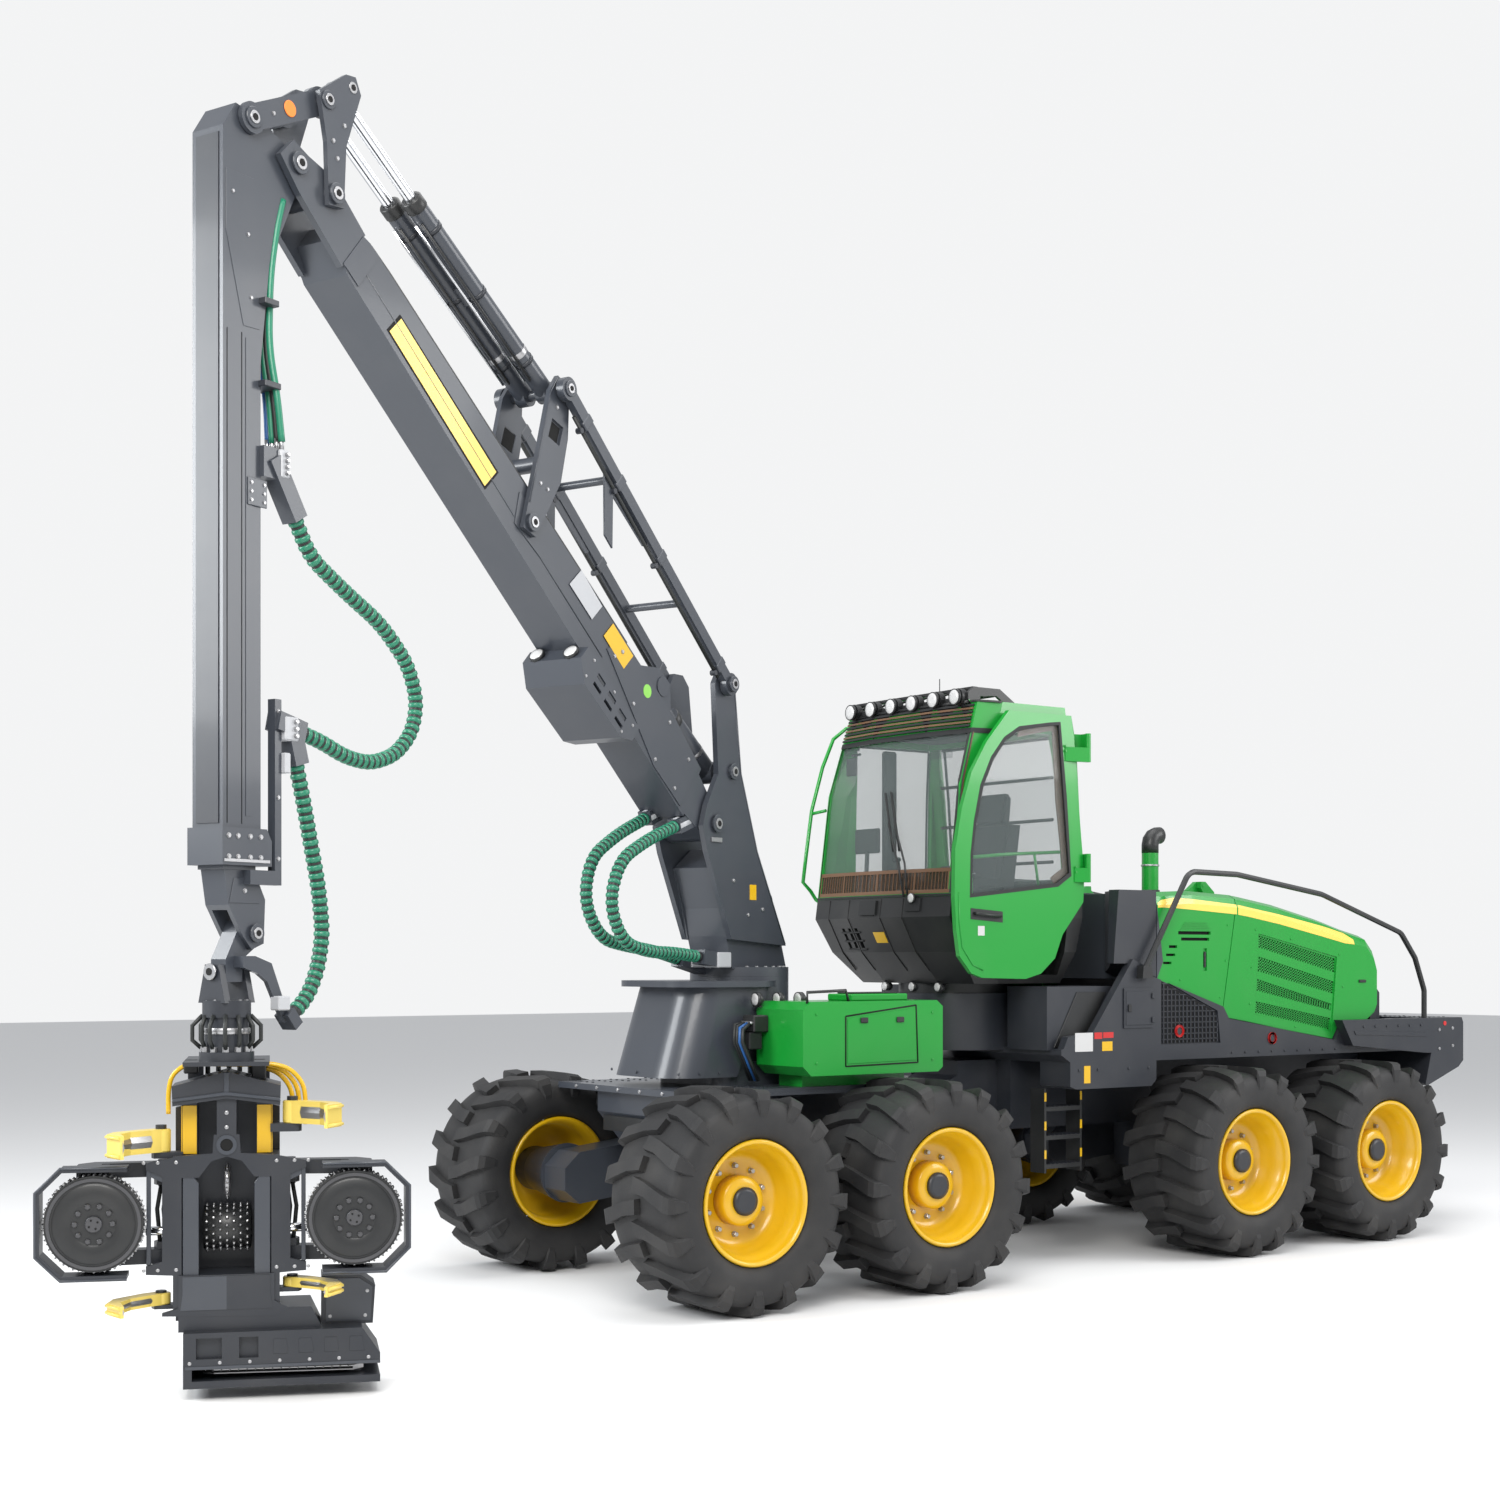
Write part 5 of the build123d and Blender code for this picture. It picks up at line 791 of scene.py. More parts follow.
def makeDoorDetails():
    made = Piece("door_details", "cab_door", "green")
    corners = [machineAt(cabX + x, 0.821, z) for x, z in doorWindow]
    centre = sum(corners, Vector()) / len(corners)
    outer = [corner + Vector((0, -0.003, 0)) for corner in corners]
    inner = [corner + (centre - corner).normalized() * 0.030 for corner in outer]
    inside = Vector((0, -0.016, 0))
    made.skin([[near, near + inside, far + inside, far]
               for near, far in zip(outer + outer[:1], inner + inner[:1])], blackPlastic, capped=False)
    # tan trim inside, along the top and the rear edge
    rings = []
    for x, z in ((0.10, 3.715), (-0.165, 3.755), (-0.268, 3.766), (-0.331, 3.224), (-0.373, 2.693),
                 (-0.247, 2.615)):
        point = machineAt(cabX + x, 0.787, z)
        towards = (Vector((centre.x, point.y, centre.z)) - point).normalized()
        rings.append([point + towards * reach + Vector((0, push, 0))
                      for reach, push in ((0.01, 0), (0.075, 0), (0.075, -0.012), (0.01, -0.012))])
    made.skin(rings, tan)
    # handle in its dark cup, and a blank sticker
    made.prism(sidePlane, [(-2.525, 2.36), (-2.235, 2.38), (-2.235, 2.455), (-2.525, 2.435)], -0.820, -0.8165,
               black, 0.001)
    made.pipe(((-2.50, 0.818, 2.40), (-2.49, 0.845, 2.402), (-2.28, 0.845, 2.418), (-2.262, 0.818, 2.42)),
              0.010, black, 10)
    made.flank(1, rectangle(-2.36, -2.30, 2.27, 2.335), 0.817, 0.0015, white)
    # the raised line along the door's front and low edge
    line = ((-2.128, 2.56), (-2.134, 2.36), (-2.160, 2.19), (-2.255, 2.07), (-2.345, 2.035))
    made.pipe([(x, 0.817, z) for x, z in line], 0.006, meshGreen, 6)
    # grab bar across the window, and its post
    made.pipe(((-2.262, 0.772, 2.80), (-2.60, 0.772, 2.83), (-3.10, 0.772, 2.86)), 0.012, green, 10)
    made.pipe(((-2.86, 0.772, 2.85), (-2.90, 0.772, 2.62)), 0.010, green, 10)
    # hinge bolts
    made.bolts(sidePlane, -1, ((-3.21, 2.72), (-3.21, 2.755), (-3.11, 3.565), (-3.11, 3.60)), 0.008, 0.826,
               green)
    made.done()


def makeCabDetails():
    made = Piece("cab_frame_details", "cab", "green")
    whole = [0.06, 0.5, 1, 1.5, 2, 2.5, 3, 3.5, 4, 4.5, 4.94]
    glassPlaces = [1.06, 1.5, 2, 2.5, 3, 3.5, 3.94]
    # dark seals round the front window, and the tan trim with its mesh: a dark see-through sheet behind the tan
    # bars, which also paints the shade of the cab behind it
    # columns: places, the two heights, lift, depth, material
    for strip in ((whole, 2.541, 2.556, 0.001, 0.006, blackPlastic),
                  (whole, 3.655, 3.69, 0.001, 0.006, blackPlastic),
                  (glassPlaces, 2.560, 2.585, -0.006, 0.008, tan),
                  (glassPlaces, 2.705, 2.730, -0.006, 0.008, tan),
                  (glassPlaces, 2.585, 2.705, -0.006, 0.002, shadowMesh),
                  (whole, 3.872, 3.886, 0.001, 0.012, black)):
        frontStrip(made, *strip)
    for i in range(41):
        place = 1.08 + i * 2.84 / 40
        frontStrip(made, [place, place + (0.008 if i % 10 else 0.03)], 2.585, 2.705, -0.004, 0.005, tan)
    # the seals up the window's posts, and the tan edge of the post beside the door
    for place, half, depth, material in ((1.0, 0.05, 0.006, blackPlastic), (4.0, 0.05, 0.006, blackPlastic),
                                         (0.925, 0.025, 0.005, tan)):
        for step in range(10):
            frontStrip(made, about(place, half), 2.56 + step * 0.11, 2.67 + step * 0.11, 0.001, depth, material)
    # sunshade slats of the roof
    for i in range(7):
        z = 3.70 + i * 0.024
        frontStrip(made, [1.05, 1.5, 2, 2.5, 3, 3.5, 3.95], z, z + 0.014, 0.002, 0.02 - i * 0.001,
                   tan if i % 2 else blackPlastic)
    # lamps in the rack, with bars like a lattice between them
    for y in (-0.575, -0.345, -0.115, 0.115, 0.345, 0.575):
        made.lamp(facing(cabX, 0, 0), (y, 3.91), 0.056, 0.475, 0.030)
        made.box(facing(cabX, 0, 0), about(y, 0.012), (3.96, 3.97), (0.40, 0.47), black)
    pitch = 1.28 / 6
    for i in range(7):
        y = -0.64 + i * pitch
        made.pipe(((cabX + 0.42, y, 3.91), (cabX + 0.368, y, 3.972)), 0.009)
        if i < 6:
            made.pipe(((cabX + 0.42, y, 3.91), (cabX + 0.368, y + pitch, 3.972)), 0.008)
            made.pipe(((cabX + 0.20, y + 0.1, 3.935), (cabX + 0.368, y + 0.1, 3.972)), 0.008)
    made.pipe(((cabX + 0.19, -0.64, 3.932), (cabX + 0.19, 0.64, 3.932)), 0.010)
    made.pipe(((cabX + 0.44, -0.645, 3.875), (cabX + 0.44, 0.645, 3.875)), 0.012)
    # roof: raised panel, aerial and its foot
    made.box(levelPlane, (cabX - 0.33, cabX + 0.12), (-0.56, 0.56), (3.88, 3.895), green, 0.006)
    made.disc(levelPlane, (cabX - 0.25, -0.45), 0.03, 3.894, 3.915, black, 20, 0.004)
    made.pipe(((cabX - 0.25, -0.45, 3.91), (cabX - 0.25, -0.45, 4.20)), 0.004, black, 6)
    # the green rail outside the cab's right side
    rail = ((-2.48, 3.83), (-2.357, 3.742), (-2.256, 3.527), (-2.155, 3.202), (-2.105, 2.881), (-2.075, 2.674),
            (-2.145, 2.611), (-2.195, 2.548))
    made.pipe([(-2.50, -0.735, 3.80)] + [(x, -0.85, z) for x, z in rail] + [(-2.22, -0.77, 2.50)], 0.014,
              green, 10)
    made.pipe(((-2.155, -0.85, 3.18), (-2.20, -0.735, 3.20)), 0.012, green, 10)
    # the green post at the rear left corner
    post = ((-3.20, 3.80), (-3.245, 3.60), (-3.285, 3.0), (-3.315, 2.60))
    made.pipe([(x, 0.765, z) for x, z in post], 0.020, green, 10)
    # the seals of the rear window and of the right one
    for y in (-0.60, 0.60):
        made.pipe(((cabX - 0.515, y, 2.66), (cabX - 0.458, y * 0.98, 3.30), (cabX - 0.405, y * 0.96, 3.69)),
                  0.010, blackPlastic)
    for z, x in ((2.67, cabX - 0.512), (3.68, cabX - 0.406)):
        made.pipe(((x, -0.60, z), (x, 0.60, z)), 0.010, blackPlastic)
    for x in (cabX - 0.39, cabX + 0.32):
        made.pipe(((x, -0.778, 2.59), (x, -0.763, 3.3), (x, -0.742, 3.68)), 0.008, blackPlastic)
    for z, y in ((2.585, -0.776), (3.685, -0.744)):
        made.pipe(((cabX - 0.39, y, z), (cabX + 0.32, y, z)), 0.008, blackPlastic)
    # wipers
    for foot, elbow, tip in ((1.90, 1.98, 2.25), (1.98, 2.10, 2.36)):
        made.tube([onFront(foot, 2.545, 0.012), onFront(elbow, 2.77, 0.030), onFront(tip, 3.06, 0.020)], 0.007)
        made.tube([onFront(tip - 0.12, 2.86, 0.012), onFront(tip + 0.12, 3.28, 0.012)], 0.008, blackPlastic)
    # mirror on its arm
    made.pipe(((-2.46, -0.66, 3.62), (-2.34, -0.60, 3.60)), 0.010)
    made.box(crossPlane, (-0.66, -0.54), (3.45, 3.58), (-2.345, -2.325), black, 0.008)
    made.done()


# A point on the nose of the cab's tub
def onTub(y, z, lift=0.0):
    # columns: height, nose
    heights = ((2.0, 0.457), (2.16, 0.610), (2.40, 0.740), (2.54, 0.720))
    for (low, near), (high, far) in zip(heights, heights[1:]):
        if z <= high:
            nose = near + (far - near) * (z - low) / (high - low)
            break
    inwards = max(0, abs(y) - 0.3) * 0.05 / 0.445
    return machineAt(cabX + nose - inwards + lift, y, z)


def makeTubDetails():
    made = Piece("cab_base_details", "cab", "black")
    # wiper box, panel lines, lamps and a blank sticker on the front
    for left, right, low, high, depth, material in ((-0.16, 0.02, 2.42, 2.52, 0.02, blackPlastic),
                                                    (-0.08, 0.04, 2.225, 2.30, 0.004, yellow),
                                                    (0.33, 0.47, 2.44, 2.53, 0.012, blackPlastic)):
        made.skin([[onTub(y, z, lift) for y, z in rectangle(left, right, low, high)]
                   for lift in (-0.01, depth)], material)
    for y in (0.30, 0.06, -0.30, -0.56):
        made.tube([onTub(y, z, 0.001) for z in (2.03, 2.155, 2.395, 2.53)], 0.004, shadow, 6)
    for z in (2.18, 2.24, 2.30):
        made.tube([onTub(-0.45, z, 0.002), onTub(-0.22, z, 0.002)], 0.008, blackPlastic, 6)
    made.lamp(planeAt(onTub(0.40, 2.50), (0, 1, 0), (0, 0, 1)), (0, 0.03), 0.035, 0.005, 0.025)
    # side panel lines
    for x, side in ((-2.30, -1), (-2.62, -1), (-2.20, 1)):
        made.pipe(((x, side * 0.742, 2.17), (x, side * 0.776, 2.40), (x, side * 0.776, 2.53)), 0.004, shadow, 6)
    # the turntable's bolts and lamps under the floor
    made.bolts(levelPlane, -1, ringOf((cabX, 0), 0.37, 24), 0.010, -1.872)
    for y in (-0.28, 0.02, 0.30):
        made.lamp(facing(cabX + 0.36, y, 1.915), (0, 0), 0.034, 0.0, 0.06)
    made.done()


def makeInterior():
    made = Piece("cab_interior", "cab", "seat_black")
    seatX = cabX + 0.075
    for side in (-1, 1):
        # the seat's side rolls
        made.pipe(((seatX + 0.19, side * 0.23, 2.515), (seatX - 0.20, side * 0.23, 2.525),
                   (seatX - 0.27, side * 0.23, 2.62), (seatX - 0.37, side * 0.22, 3.02)),
                  [0.02, 0.035, 0.035, 0.02], seatCloth, 10)
        # controls on the arm rests
        y = side * 0.33
        made.box(levelPlane, (seatX + 0.02, seatX + 0.24), about(y, 0.075), (2.68, 2.71), blackPlastic, 0.010)
        made.pipe(((seatX + 0.16, y, 2.70), (seatX + 0.19, y, 2.82)), [0.016, 0.024], black, 12)
        made.disc(levelPlane, (seatX + 0.19, y), 0.032, 2.815, 2.85, blackPlastic, 16, 0.010)
        for i in range(4):
            made.disc(levelPlane, (seatX + 0.05 + i * 0.025, y + 0.03), 0.008, 2.71, 2.718, steel, 10)
    # head rest and the seams across the seat
    made.prism(sidePlane, [(seatX - 0.40, 3.09), (seatX - 0.49, 3.09), (seatX - 0.51, 3.30),
                           (seatX - 0.44, 3.32)], -0.15, 0.15, seatCloth, 0.02, 2)
    for i in range(5):
        x = seatX - 0.15 + i * 0.075
        made.pipe(((x, -0.2, 2.512), (x, 0.2, 2.512)), 0.004, shadow, 6)
    # screen on its arm, and pedals
    made.pipe(((cabX + 0.42, -0.50, 2.56), (cabX + 0.40, -0.50, 2.90)), 0.016, black, 10)
    made.box(crossPlane, (-0.64, -0.36), (2.88, 3.06), (cabX + 0.385, cabX + 0.41), blackPlastic, 0.010)
    made.box(crossPlane, (-0.62, -0.38), (2.90, 3.04), (cabX + 0.382, cabX + 0.386), screenDark)
    pedal = [(cabX + 0.30, 2.06), (cabX + 0.52, 2.20), (cabX + 0.52, 2.24), (cabX + 0.28, 2.08)]
    made.prism(sidePlane, pedal, -0.18, -0.06, steel, 0.004)
    made.prism(sidePlane, pedal, 0.06, 0.18, steel, 0.004)
    # lining: dark right-hand post, ceiling with a loudspeaker, rear shelf and bars
    made.box(levelPlane, (cabX - 0.02, cabX + 0.10), (-0.715, -0.66), (2.54, 3.66), blackPlastic, 0.015)
    made.box(levelPlane, (cabX - 0.36, cabX + 0.22), (-0.60, 0.60), (3.725, 3.755), blackPlastic, 0.01)
    made.turned(levelPlane @ flip, (cabX + 0.05, 0.30), [(0.10, -3.725), (0.10, -3.715), (0.02, -3.708)],
                shadow)
    made.box(levelPlane, (cabX - 0.46, cabX - 0.36), (-0.55, 0.55), (2.56, 2.66), blackPlastic, 0.015)
    for z in (2.80, 3.10, 3.40):
        made.pipe(((cabX - 0.40, -0.60, z), (cabX - 0.40, 0.60, z)), 0.012)
    made.done()


makeDoorDetails()
makeCabDetails()
makeTubDetails()
makeInterior()
print("cab detailed")


# Front frame: side box, skirt, deck, lamps, middle joint
def makeFrontDetails():
    made = Piece("front_frame_details", "front", "charcoal")
    # the side box's sunk lid, seams, latches and a rail along its top
    made.flank(1, [(-1.09, 1.73), (-1.645, 1.79), (-1.66, 1.45), (-1.09, 1.44)], sideBoxHalf, 0.004, green,
               0.002)
    seam = ((-1.075, 1.745), (-1.66, 1.81), (-1.675, 1.435), (-1.075, 1.425))
    for near, far in zip(seam, seam[1:] + seam[:1]):
        made.pipe([(x, sideBoxHalf + 0.001, z) for x, z in (near, far)], 0.005, shadow, 6)
    for x in (-1.22, -1.52):
        made.flank(1, rectangle(*about(x, 0.03), 1.70, 1.735), sideBoxHalf + 0.004, 0.012, black, 0.004)
    made.box(levelPlane, (-1.65, -1.18), (0.60, 0.86), (1.84, 1.885), green, 0.008)
    made.box(levelPlane, (-1.60, -1.23), (0.64, 0.82), (1.885, 1.895), black, 0.004)
    made.pipe(((-0.79, 0.90, 1.83), (-0.79, 0.90, 1.90), (-1.10, 0.90, 1.91), (-1.12, 0.90, 1.84)), 0.010)
    made.bolts(sidePlane, -1, [(x, z) for x in (-0.84, -1.80) for z in (1.45, 1.76)], 0.008, sideBoxHalf,
               green)
    # lamps at the skirt's foot
    for x in (-0.72, -0.892, -1.064):
        made.box(levelPlane, about(x, 0.01), (0.425, 0.50), (1.80, 1.81), black)
        made.lamp(facing(x, 0.47, 1.85), (0, 0), 0.045, -0.02, 0.05)
    # valve block and hoses between the skirt and the box
    made.box(levelPlane, (-0.74, -0.62), (0.43, 0.56), (1.64, 1.75), black, 0.008)
    made.box(levelPlane, (-0.70, -0.60), (0.46, 0.54), (1.53, 1.64), blackPlastic, 0.006)
    for i in range(4):
        y = 0.46 + i * 0.03
        made.pipe(((-0.61, 0.45 + i * 0.028, 1.70), (-0.54, y, 1.69 - i * 0.01), (-0.53, y + 0.01, 1.58),
                   (-0.60, y, 1.45), (-0.66, y, 1.33)), 0.012, bluePipe if i == 2 else hoseBlack)
        made.disc(crossPlane, (0.45 + i * 0.028, 1.70), 0.013, -0.622, -0.600, steel, 8)
    # skirt: bolts of the foot flange
    for y in (-0.40, -0.20, 0.0, 0.20, 0.40):
        made.bolt(crossPlane, (y, 1.38), 0.009, -0.084 - y * y * 0.4, charcoal)
    for side in (-1, 1):
        made.bolts(sidePlane, -side, ((-0.30, 1.38), (-0.45, 1.38)), 0.009, 0.413, charcoal)
    # deck: raised studs, edge plates and the front's bolts and step
    for i in range(14):
        for k in range(4):
            for side in (-1, 1):
                x, y = -1.88 + i * 0.14, side * (0.50 + k * 0.075)
                if side < 0 or x >= -0.62:
                    made.disc(levelPlane, (x, y), 0.010, 1.29, 1.294, darkFrame, 6)
    for side in (1, -1):
        made.flank(side, rectangle(-1.88, 0.045, 1.245, 1.262), 0.755, 0.006, charcoal)
    made.bolts(crossPlane, 1, [(y, 1.27) for y in (-0.52, -0.26, 0, 0.26, 0.52)], 0.012, 0.055)
    made.box(crossPlane, (-0.30, 0.30), (0.99, 1.09), (-0.026, -0.018), black, 0.003)
    # steering cylinders beside the middle joint
    for side in (-1, 1):
        made.pipe(((-1.90, side * 0.30, 1.02), (-1.55, side * 0.40, 1.02)), 0.045, black, 16)
        made.turned(levelPlane, (-1.54, side * 0.40), [(0.06, 0.97), (0.06, 1.07)], charcoal, 20)
    made.disc(levelPlane, (-2.4, 0), 0.085, 1.100, 1.106, steel, 28, 0.003)
    # pipes from the crane's foot to the rear along the frame
    for i in range(4):
        y = -0.10 + i * 0.065
        made.pipe(((-1.26, y, 1.33), (-1.45, y, 1.31), (-1.86, y, 1.31)), 0.014, hoseBlack)
    made.done()
    # hub drums' bolt circles and covers on the bogies
    for name, body, centre in (("front_bogie_details", "front", -0.75), ("rear_bogie_details", "rear", -5.10)):
        made = Piece(name, body, "charcoal")
        for side in (1, -1):
            made.flank(side, rectangle(*about(centre, 0.30), 0.60, 0.74), bogieHalf, 0.010, darkFrame, 0.004)
            made.bolts(sidePlane, -side, ringOf((centre, 0.67), 0.13, 8), 0.011, bogieHalf + 0.010)
            for end in (-0.75, 0.75):
                made.bolts(sidePlane, -side, ringOf((centre + end, tyre["radius"]), 0.178, 12, 0.2), 0.009,
                           bogieHalf + 0.002)
            for x in about(centre, 0.55):
                made.disc(sidePlane, (x, 0.60), 0.02, *outside(-side, bogieHalf, 0.012), steel, 12, 0.002)
        made.done()


makeFrontDetails()


# Crane column, boom, links and knuckle
def makeColumnDetails():
    made = Piece("column_details", "crane_column", "charcoal")
    for centre, reach, radius in ((liftPin, 0.209, 0.058), (liftFoot, 0.209, 0.052), (linkFoot, 0.265, 0.052)):
        made.pinCaps(centre, reach, radius)
    bead = ((-0.27, 2.21), (0.09, 2.82), (0.29, 3.32), (0.37, 3.89))
    for side in (-1, 1):
        # lug, weld bead, bolts and a blank label on the side plates
        made.cheek(side, rectangle(0.53, 0.65, 2.86, 2.89), columnHalf, 0.012, steel, 0.002)
        made.tube([onCrane(out, up, side * columnHalf) for out, up in bead], 0.006, charcoal, 6)
        made.bolts(cranePlane, side, ((0.20, 2.40), (0.38, 2.62), (0.02, 2.44)), 0.012, columnHalf)
        made.cheek(side, rectangle(0.10, 0.18, 2.50, 2.60), columnHalf, 0.002, yellow)
    for x, y in ringOf((slewX, 0), 0.30, 28):
        sideways = abs((x - slewX) * math.sin(slewTurn) - y * math.cos(slewTurn))
        if sideways > 0.17:
            made.bolt(levelPlane, (x, y), 0.011, 2.058)
    # rear cover plate
    rear = planeAt(onCrane(-0.27, 2.36), craneRight, upwards)
    made.box(rear, (-0.12, 0.12), (-0.22, 0.05), (-0.006, 0.006), darkFrame, 0.002)
    # clamps on the hoses' fittings
    for right in (-0.1, 0.1):
        made.box(cranePlane, (0.34, 0.50), (2.055, 2.155), about(right, 0.056), silver, 0.006)
        made.bolts(cranePlane, 1, ((0.42, 2.06), (0.42, 2.14)), 0.010, right + 0.056)
    made.done()


def makeBoomDetails():
    made = Piece("boom_details", "boom", "charcoal")
    for centre, reach, radius in ((jibPin, 0.160, 0.055), (jibLug, 0.198, 0.052), (rockerFoot, 0.198, 0.052)):
        made.pinCaps(centre, reach, radius)
    seam = ((1.5, -0.03), (2.6, -0.03), (4.2, -0.01))
    for side in (-1, 1):
        # the blank name plate with its dark edge, and blank labels
        # columns: corners, base, depth, material
        for corners, base, depth, material in (
                (((3.560, 5.478), (3.664, 5.372), (2.862, 4.694), (2.743, 4.812)), boomHalf, 0.001, shadow),
                (((3.552, 5.457), (3.642, 5.369), (2.866, 4.714), (2.766, 4.810)), boomHalf + 0.001, 0.0015,
                 stripeYellow),
                (((1.98, 4.39), (2.095, 4.29), (1.876, 4.115), (1.774, 4.206)), boomHalf + 0.005, 0.002,
                 silver),
                (((1.662, 4.119), (1.758, 4.033), (1.553, 3.861), (1.454, 3.951)), boomHalf + 0.005, 0.002,
                 yellow)):
            made.cheek(side, corners, base, depth, material)
        made.disc(cranePlane, (1.304, 3.753), 0.042, *outside(side, boomHalf + 0.006, 0.002), stickerGreen, 24)
        # bolts on the doubling plates and on the lamps' box
        for size, base, places in (
                (0.012, boomHalf + 0.006, ((0.45, -0.11), (0.45, 0.14), (0.72, -0.12), (0.75, 0.17),
                                           (1.10, -0.02), (1.38, 0.14), (1.42, 0.06))),
                (0.009, 0.215, ((1.08, -0.19), (1.60, -0.17), (1.60, -0.30), (1.14, -0.30), (1.34, -0.17)))):
            made.bolts(cranePlane, side, [onBoom(*place) for place in places], size, base)
        # weld seams along the flank
        made.tube([onCrane(*onBoom(*place), side * boomHalf) for place in seam], 0.004, charcoal, 6)

    # a rib across the boom's back
    def makeRib(distance, shape, low, high, material):
        top = 0.24 - (distance - 0.7) * 0.10 / 3.55
        made.prism(cranePlane, [onBoom(distance + x, top + y) for x, y in shape], low, high, material, 0.003)

    # lugs for the hoses, chrome pipes from the lift cylinder's pin to the rocker, and their clamps
    for distance in (1.75, 2.15, 3.28, 3.90):
        for right in (-0.09, 0.09):
            makeRib(distance, ((-0.05, -0.01), (0.05, -0.01), (0.03, 0.045), (-0.03, 0.045)),
                    *about(right, 0.010), charcoal)
    for i, right in enumerate((-0.115, -0.075, -0.035, 0.035, 0.075, 0.115)):
        route = ((1.35, 0.251), (1.90, 0.238), (3.30, 0.198), (4.05, 0.176), (4.22, 0.164))
        made.tube([onCrane(*onBoom(*place), right) for place in route], 0.011, chrome if i % 2 else black)
    for distance in (1.45, 1.95, 2.55, 3.10, 3.70):
        makeRib(distance, rectangle(-0.018, 0.018, -0.004, 0.034), -0.130, 0.130, darkFrame)
    # lamps in their box, facing the boom's tip
    for right in (-0.125, 0.125):
        tipPlane = planeAt(onCrane(*onBoom(1.694, -0.205), right), craneRight,
                           outwards * boomLine.y - upwards * boomLine.x)
        made.lamp(tipPlane, (0, 0), 0.048, -0.01, 0.035)
    # collars round the ends of the column's hoses
    for route in hoseRoutes[:2]:
        right, points = route[3:]
        start = onCrane(*points[0], right)
        way = (onCrane(*points[1], right) - start).normalized()
        made.tube([start - way * 0.14, start - way * 0.005], 0.049, silver, 20)
    made.done()


# Places along a line between two pins and square to it
def alongLine(start, end, places):
    line = (end - start).normalized()
    square = Vector((-line.y, line.x))
    return [start + line * distance + square * shift for distance, shift in places]


def makeLinkDetails():
    made = Piece("link_details", "links", "charcoal")
    made.pinCaps(rockerTop, 0.251, 0.045)
    for side in (-1, 1):
        # clamps on the bars, and the pipe under them
        for distance in (0.17, 1.05, 1.62, 2.06):
            made.cheek(side, alongLine(linkFoot, rockerTop, rectangle(*about(distance, 0.03), -0.050, 0.050)),
                       0.199, 0.056, charcoal, 0.006)
            made.disc(cranePlane, alongLine(linkFoot, rockerTop, ((distance, -0.075),))[0], 0.018,
                      *outside(side, 0.205, 0.04), darkFrame, 14, 0.002)
        points = alongLine(linkFoot, rockerTop, [(distance, -0.062) for distance in (0.12, 0.8, 1.5, 2.15)])
        made.tube([onCrane(*point, side * 0.227) for point in points], 0.012, hoseBlack)
    made.done()
    made = Piece("rocker_details", "rocker", "charcoal")
    for side in (-1, 1):
        # a black patch inside each flank's opening: painted shade
        made.cheek(side, alongLine(rockerFoot, rockerTop, rectangle(0.544, 0.656, -0.016, 0.086)), 0.160,
                   0.004, shadow)
        edge = alongLine(rockerFoot, rockerTop, ((0.10, -0.055), (0.35, -0.062), (0.78, -0.083),
                                                 (0.90, -0.05)))
        made.tube([onCrane(*point, side * rockerHalf) for point in edge], 0.005, charcoal, 6)
        made.bolts(cranePlane, side, alongLine(rockerFoot, rockerTop, ((0.25, 0), (0.25, 0.07), (0.74, 0))),
                   0.011, rockerHalf)
    made.done()
    made = Piece("lever_details", "lever", "charcoal")
    made.pinCaps(leverTop, 0.186, 0.046)
    made.pinCaps(leverRod, 0.174, 0.046)
    for side in (-1, 1):
        made.bolts(cranePlane, side, ((4.07, 6.12), (4.02, 6.30), (4.10, 6.20)), 0.011, rockerHalf)
    made.done()
    made = Piece("knuckle_link_details", "knuckle_link", "charcoal")
    made.pinCaps((4.595, 6.160), 0.134, 0.050)
    for side in (-1, 1):
        made.disc(cranePlane, (4.35, 6.285), 0.040, *outside(side, 0.134, 0.006), orange, 28, 0.002)
        made.bolts(cranePlane, side, ((4.46, 6.225),), 0.010, 0.134)
    made.done()


# z runs along a cylinder of the crane's plane, from its foot, and x square to the crane's plane
def cylinderPlane(foot, head, right=0.0):
    way = (onCrane(*head, right) - onCrane(*foot, right)).normalized()
    return planeAt(onCrane(*foot, right), craneRight, way.cross(craneRight))


def makeCylinderDetails():
    liftPlane = cylinderPlane(liftFoot, liftHead)
    made = Piece("lift_cylinder_details", "boom_cylinder", "charcoal")
    made.band(liftPlane, [(0.069, 0.49), (0.073, 0.50), (0.073, 0.553), (0.066, 0.558), (0.043, 0.558)],
              black, 36)
    made.band(liftPlane, [(0.0695, 0.20), (0.0705, 0.205), (0.0705, 0.225), (0.0695, 0.23)], steel, 36)
    made.done()
    made = Piece("lift_rod_details", "boom_rod", "chrome")
    made.band(liftPlane, [(0.0415, 0.735), (0.052, 0.745), (0.052, 0.775), (0.0415, 0.785)], charcoal, 30)
    made.done()
    made = Piece("jib_cylinder_details", "jib_barrels", "charcoal")
    for right in (-0.076, 0.076):
        plane = cylinderPlane(rockerTop, leverRod, right)
        made.band(plane, [(0.057, 1.33), (0.061, 1.335), (0.061, 1.395), (0.055, 1.402), (0.034, 1.402)],
                  black, 32)
        made.band(plane, [(0.0575, 0.30), (0.0585, 0.305), (0.0585, 0.33), (0.0575, 0.335)], steel, 32)
        # two pipes along the barrel, and the straps round it
        for shift in (-0.022, 0.022):
            made.tube([plane @ Vector((shift, 0.066, distance)) for distance in (0.16, 0.7, 1.28)], 0.008,
                      chrome if shift > 0 else black)
        for distance in (0.25, 0.75, 1.20):
            low, high = about(distance, 0.012)
            made.band(plane, [(0.0575, low), (0.0605, low), (0.0605, high), (0.0575, high)], darkFrame, 28)
    made.done()


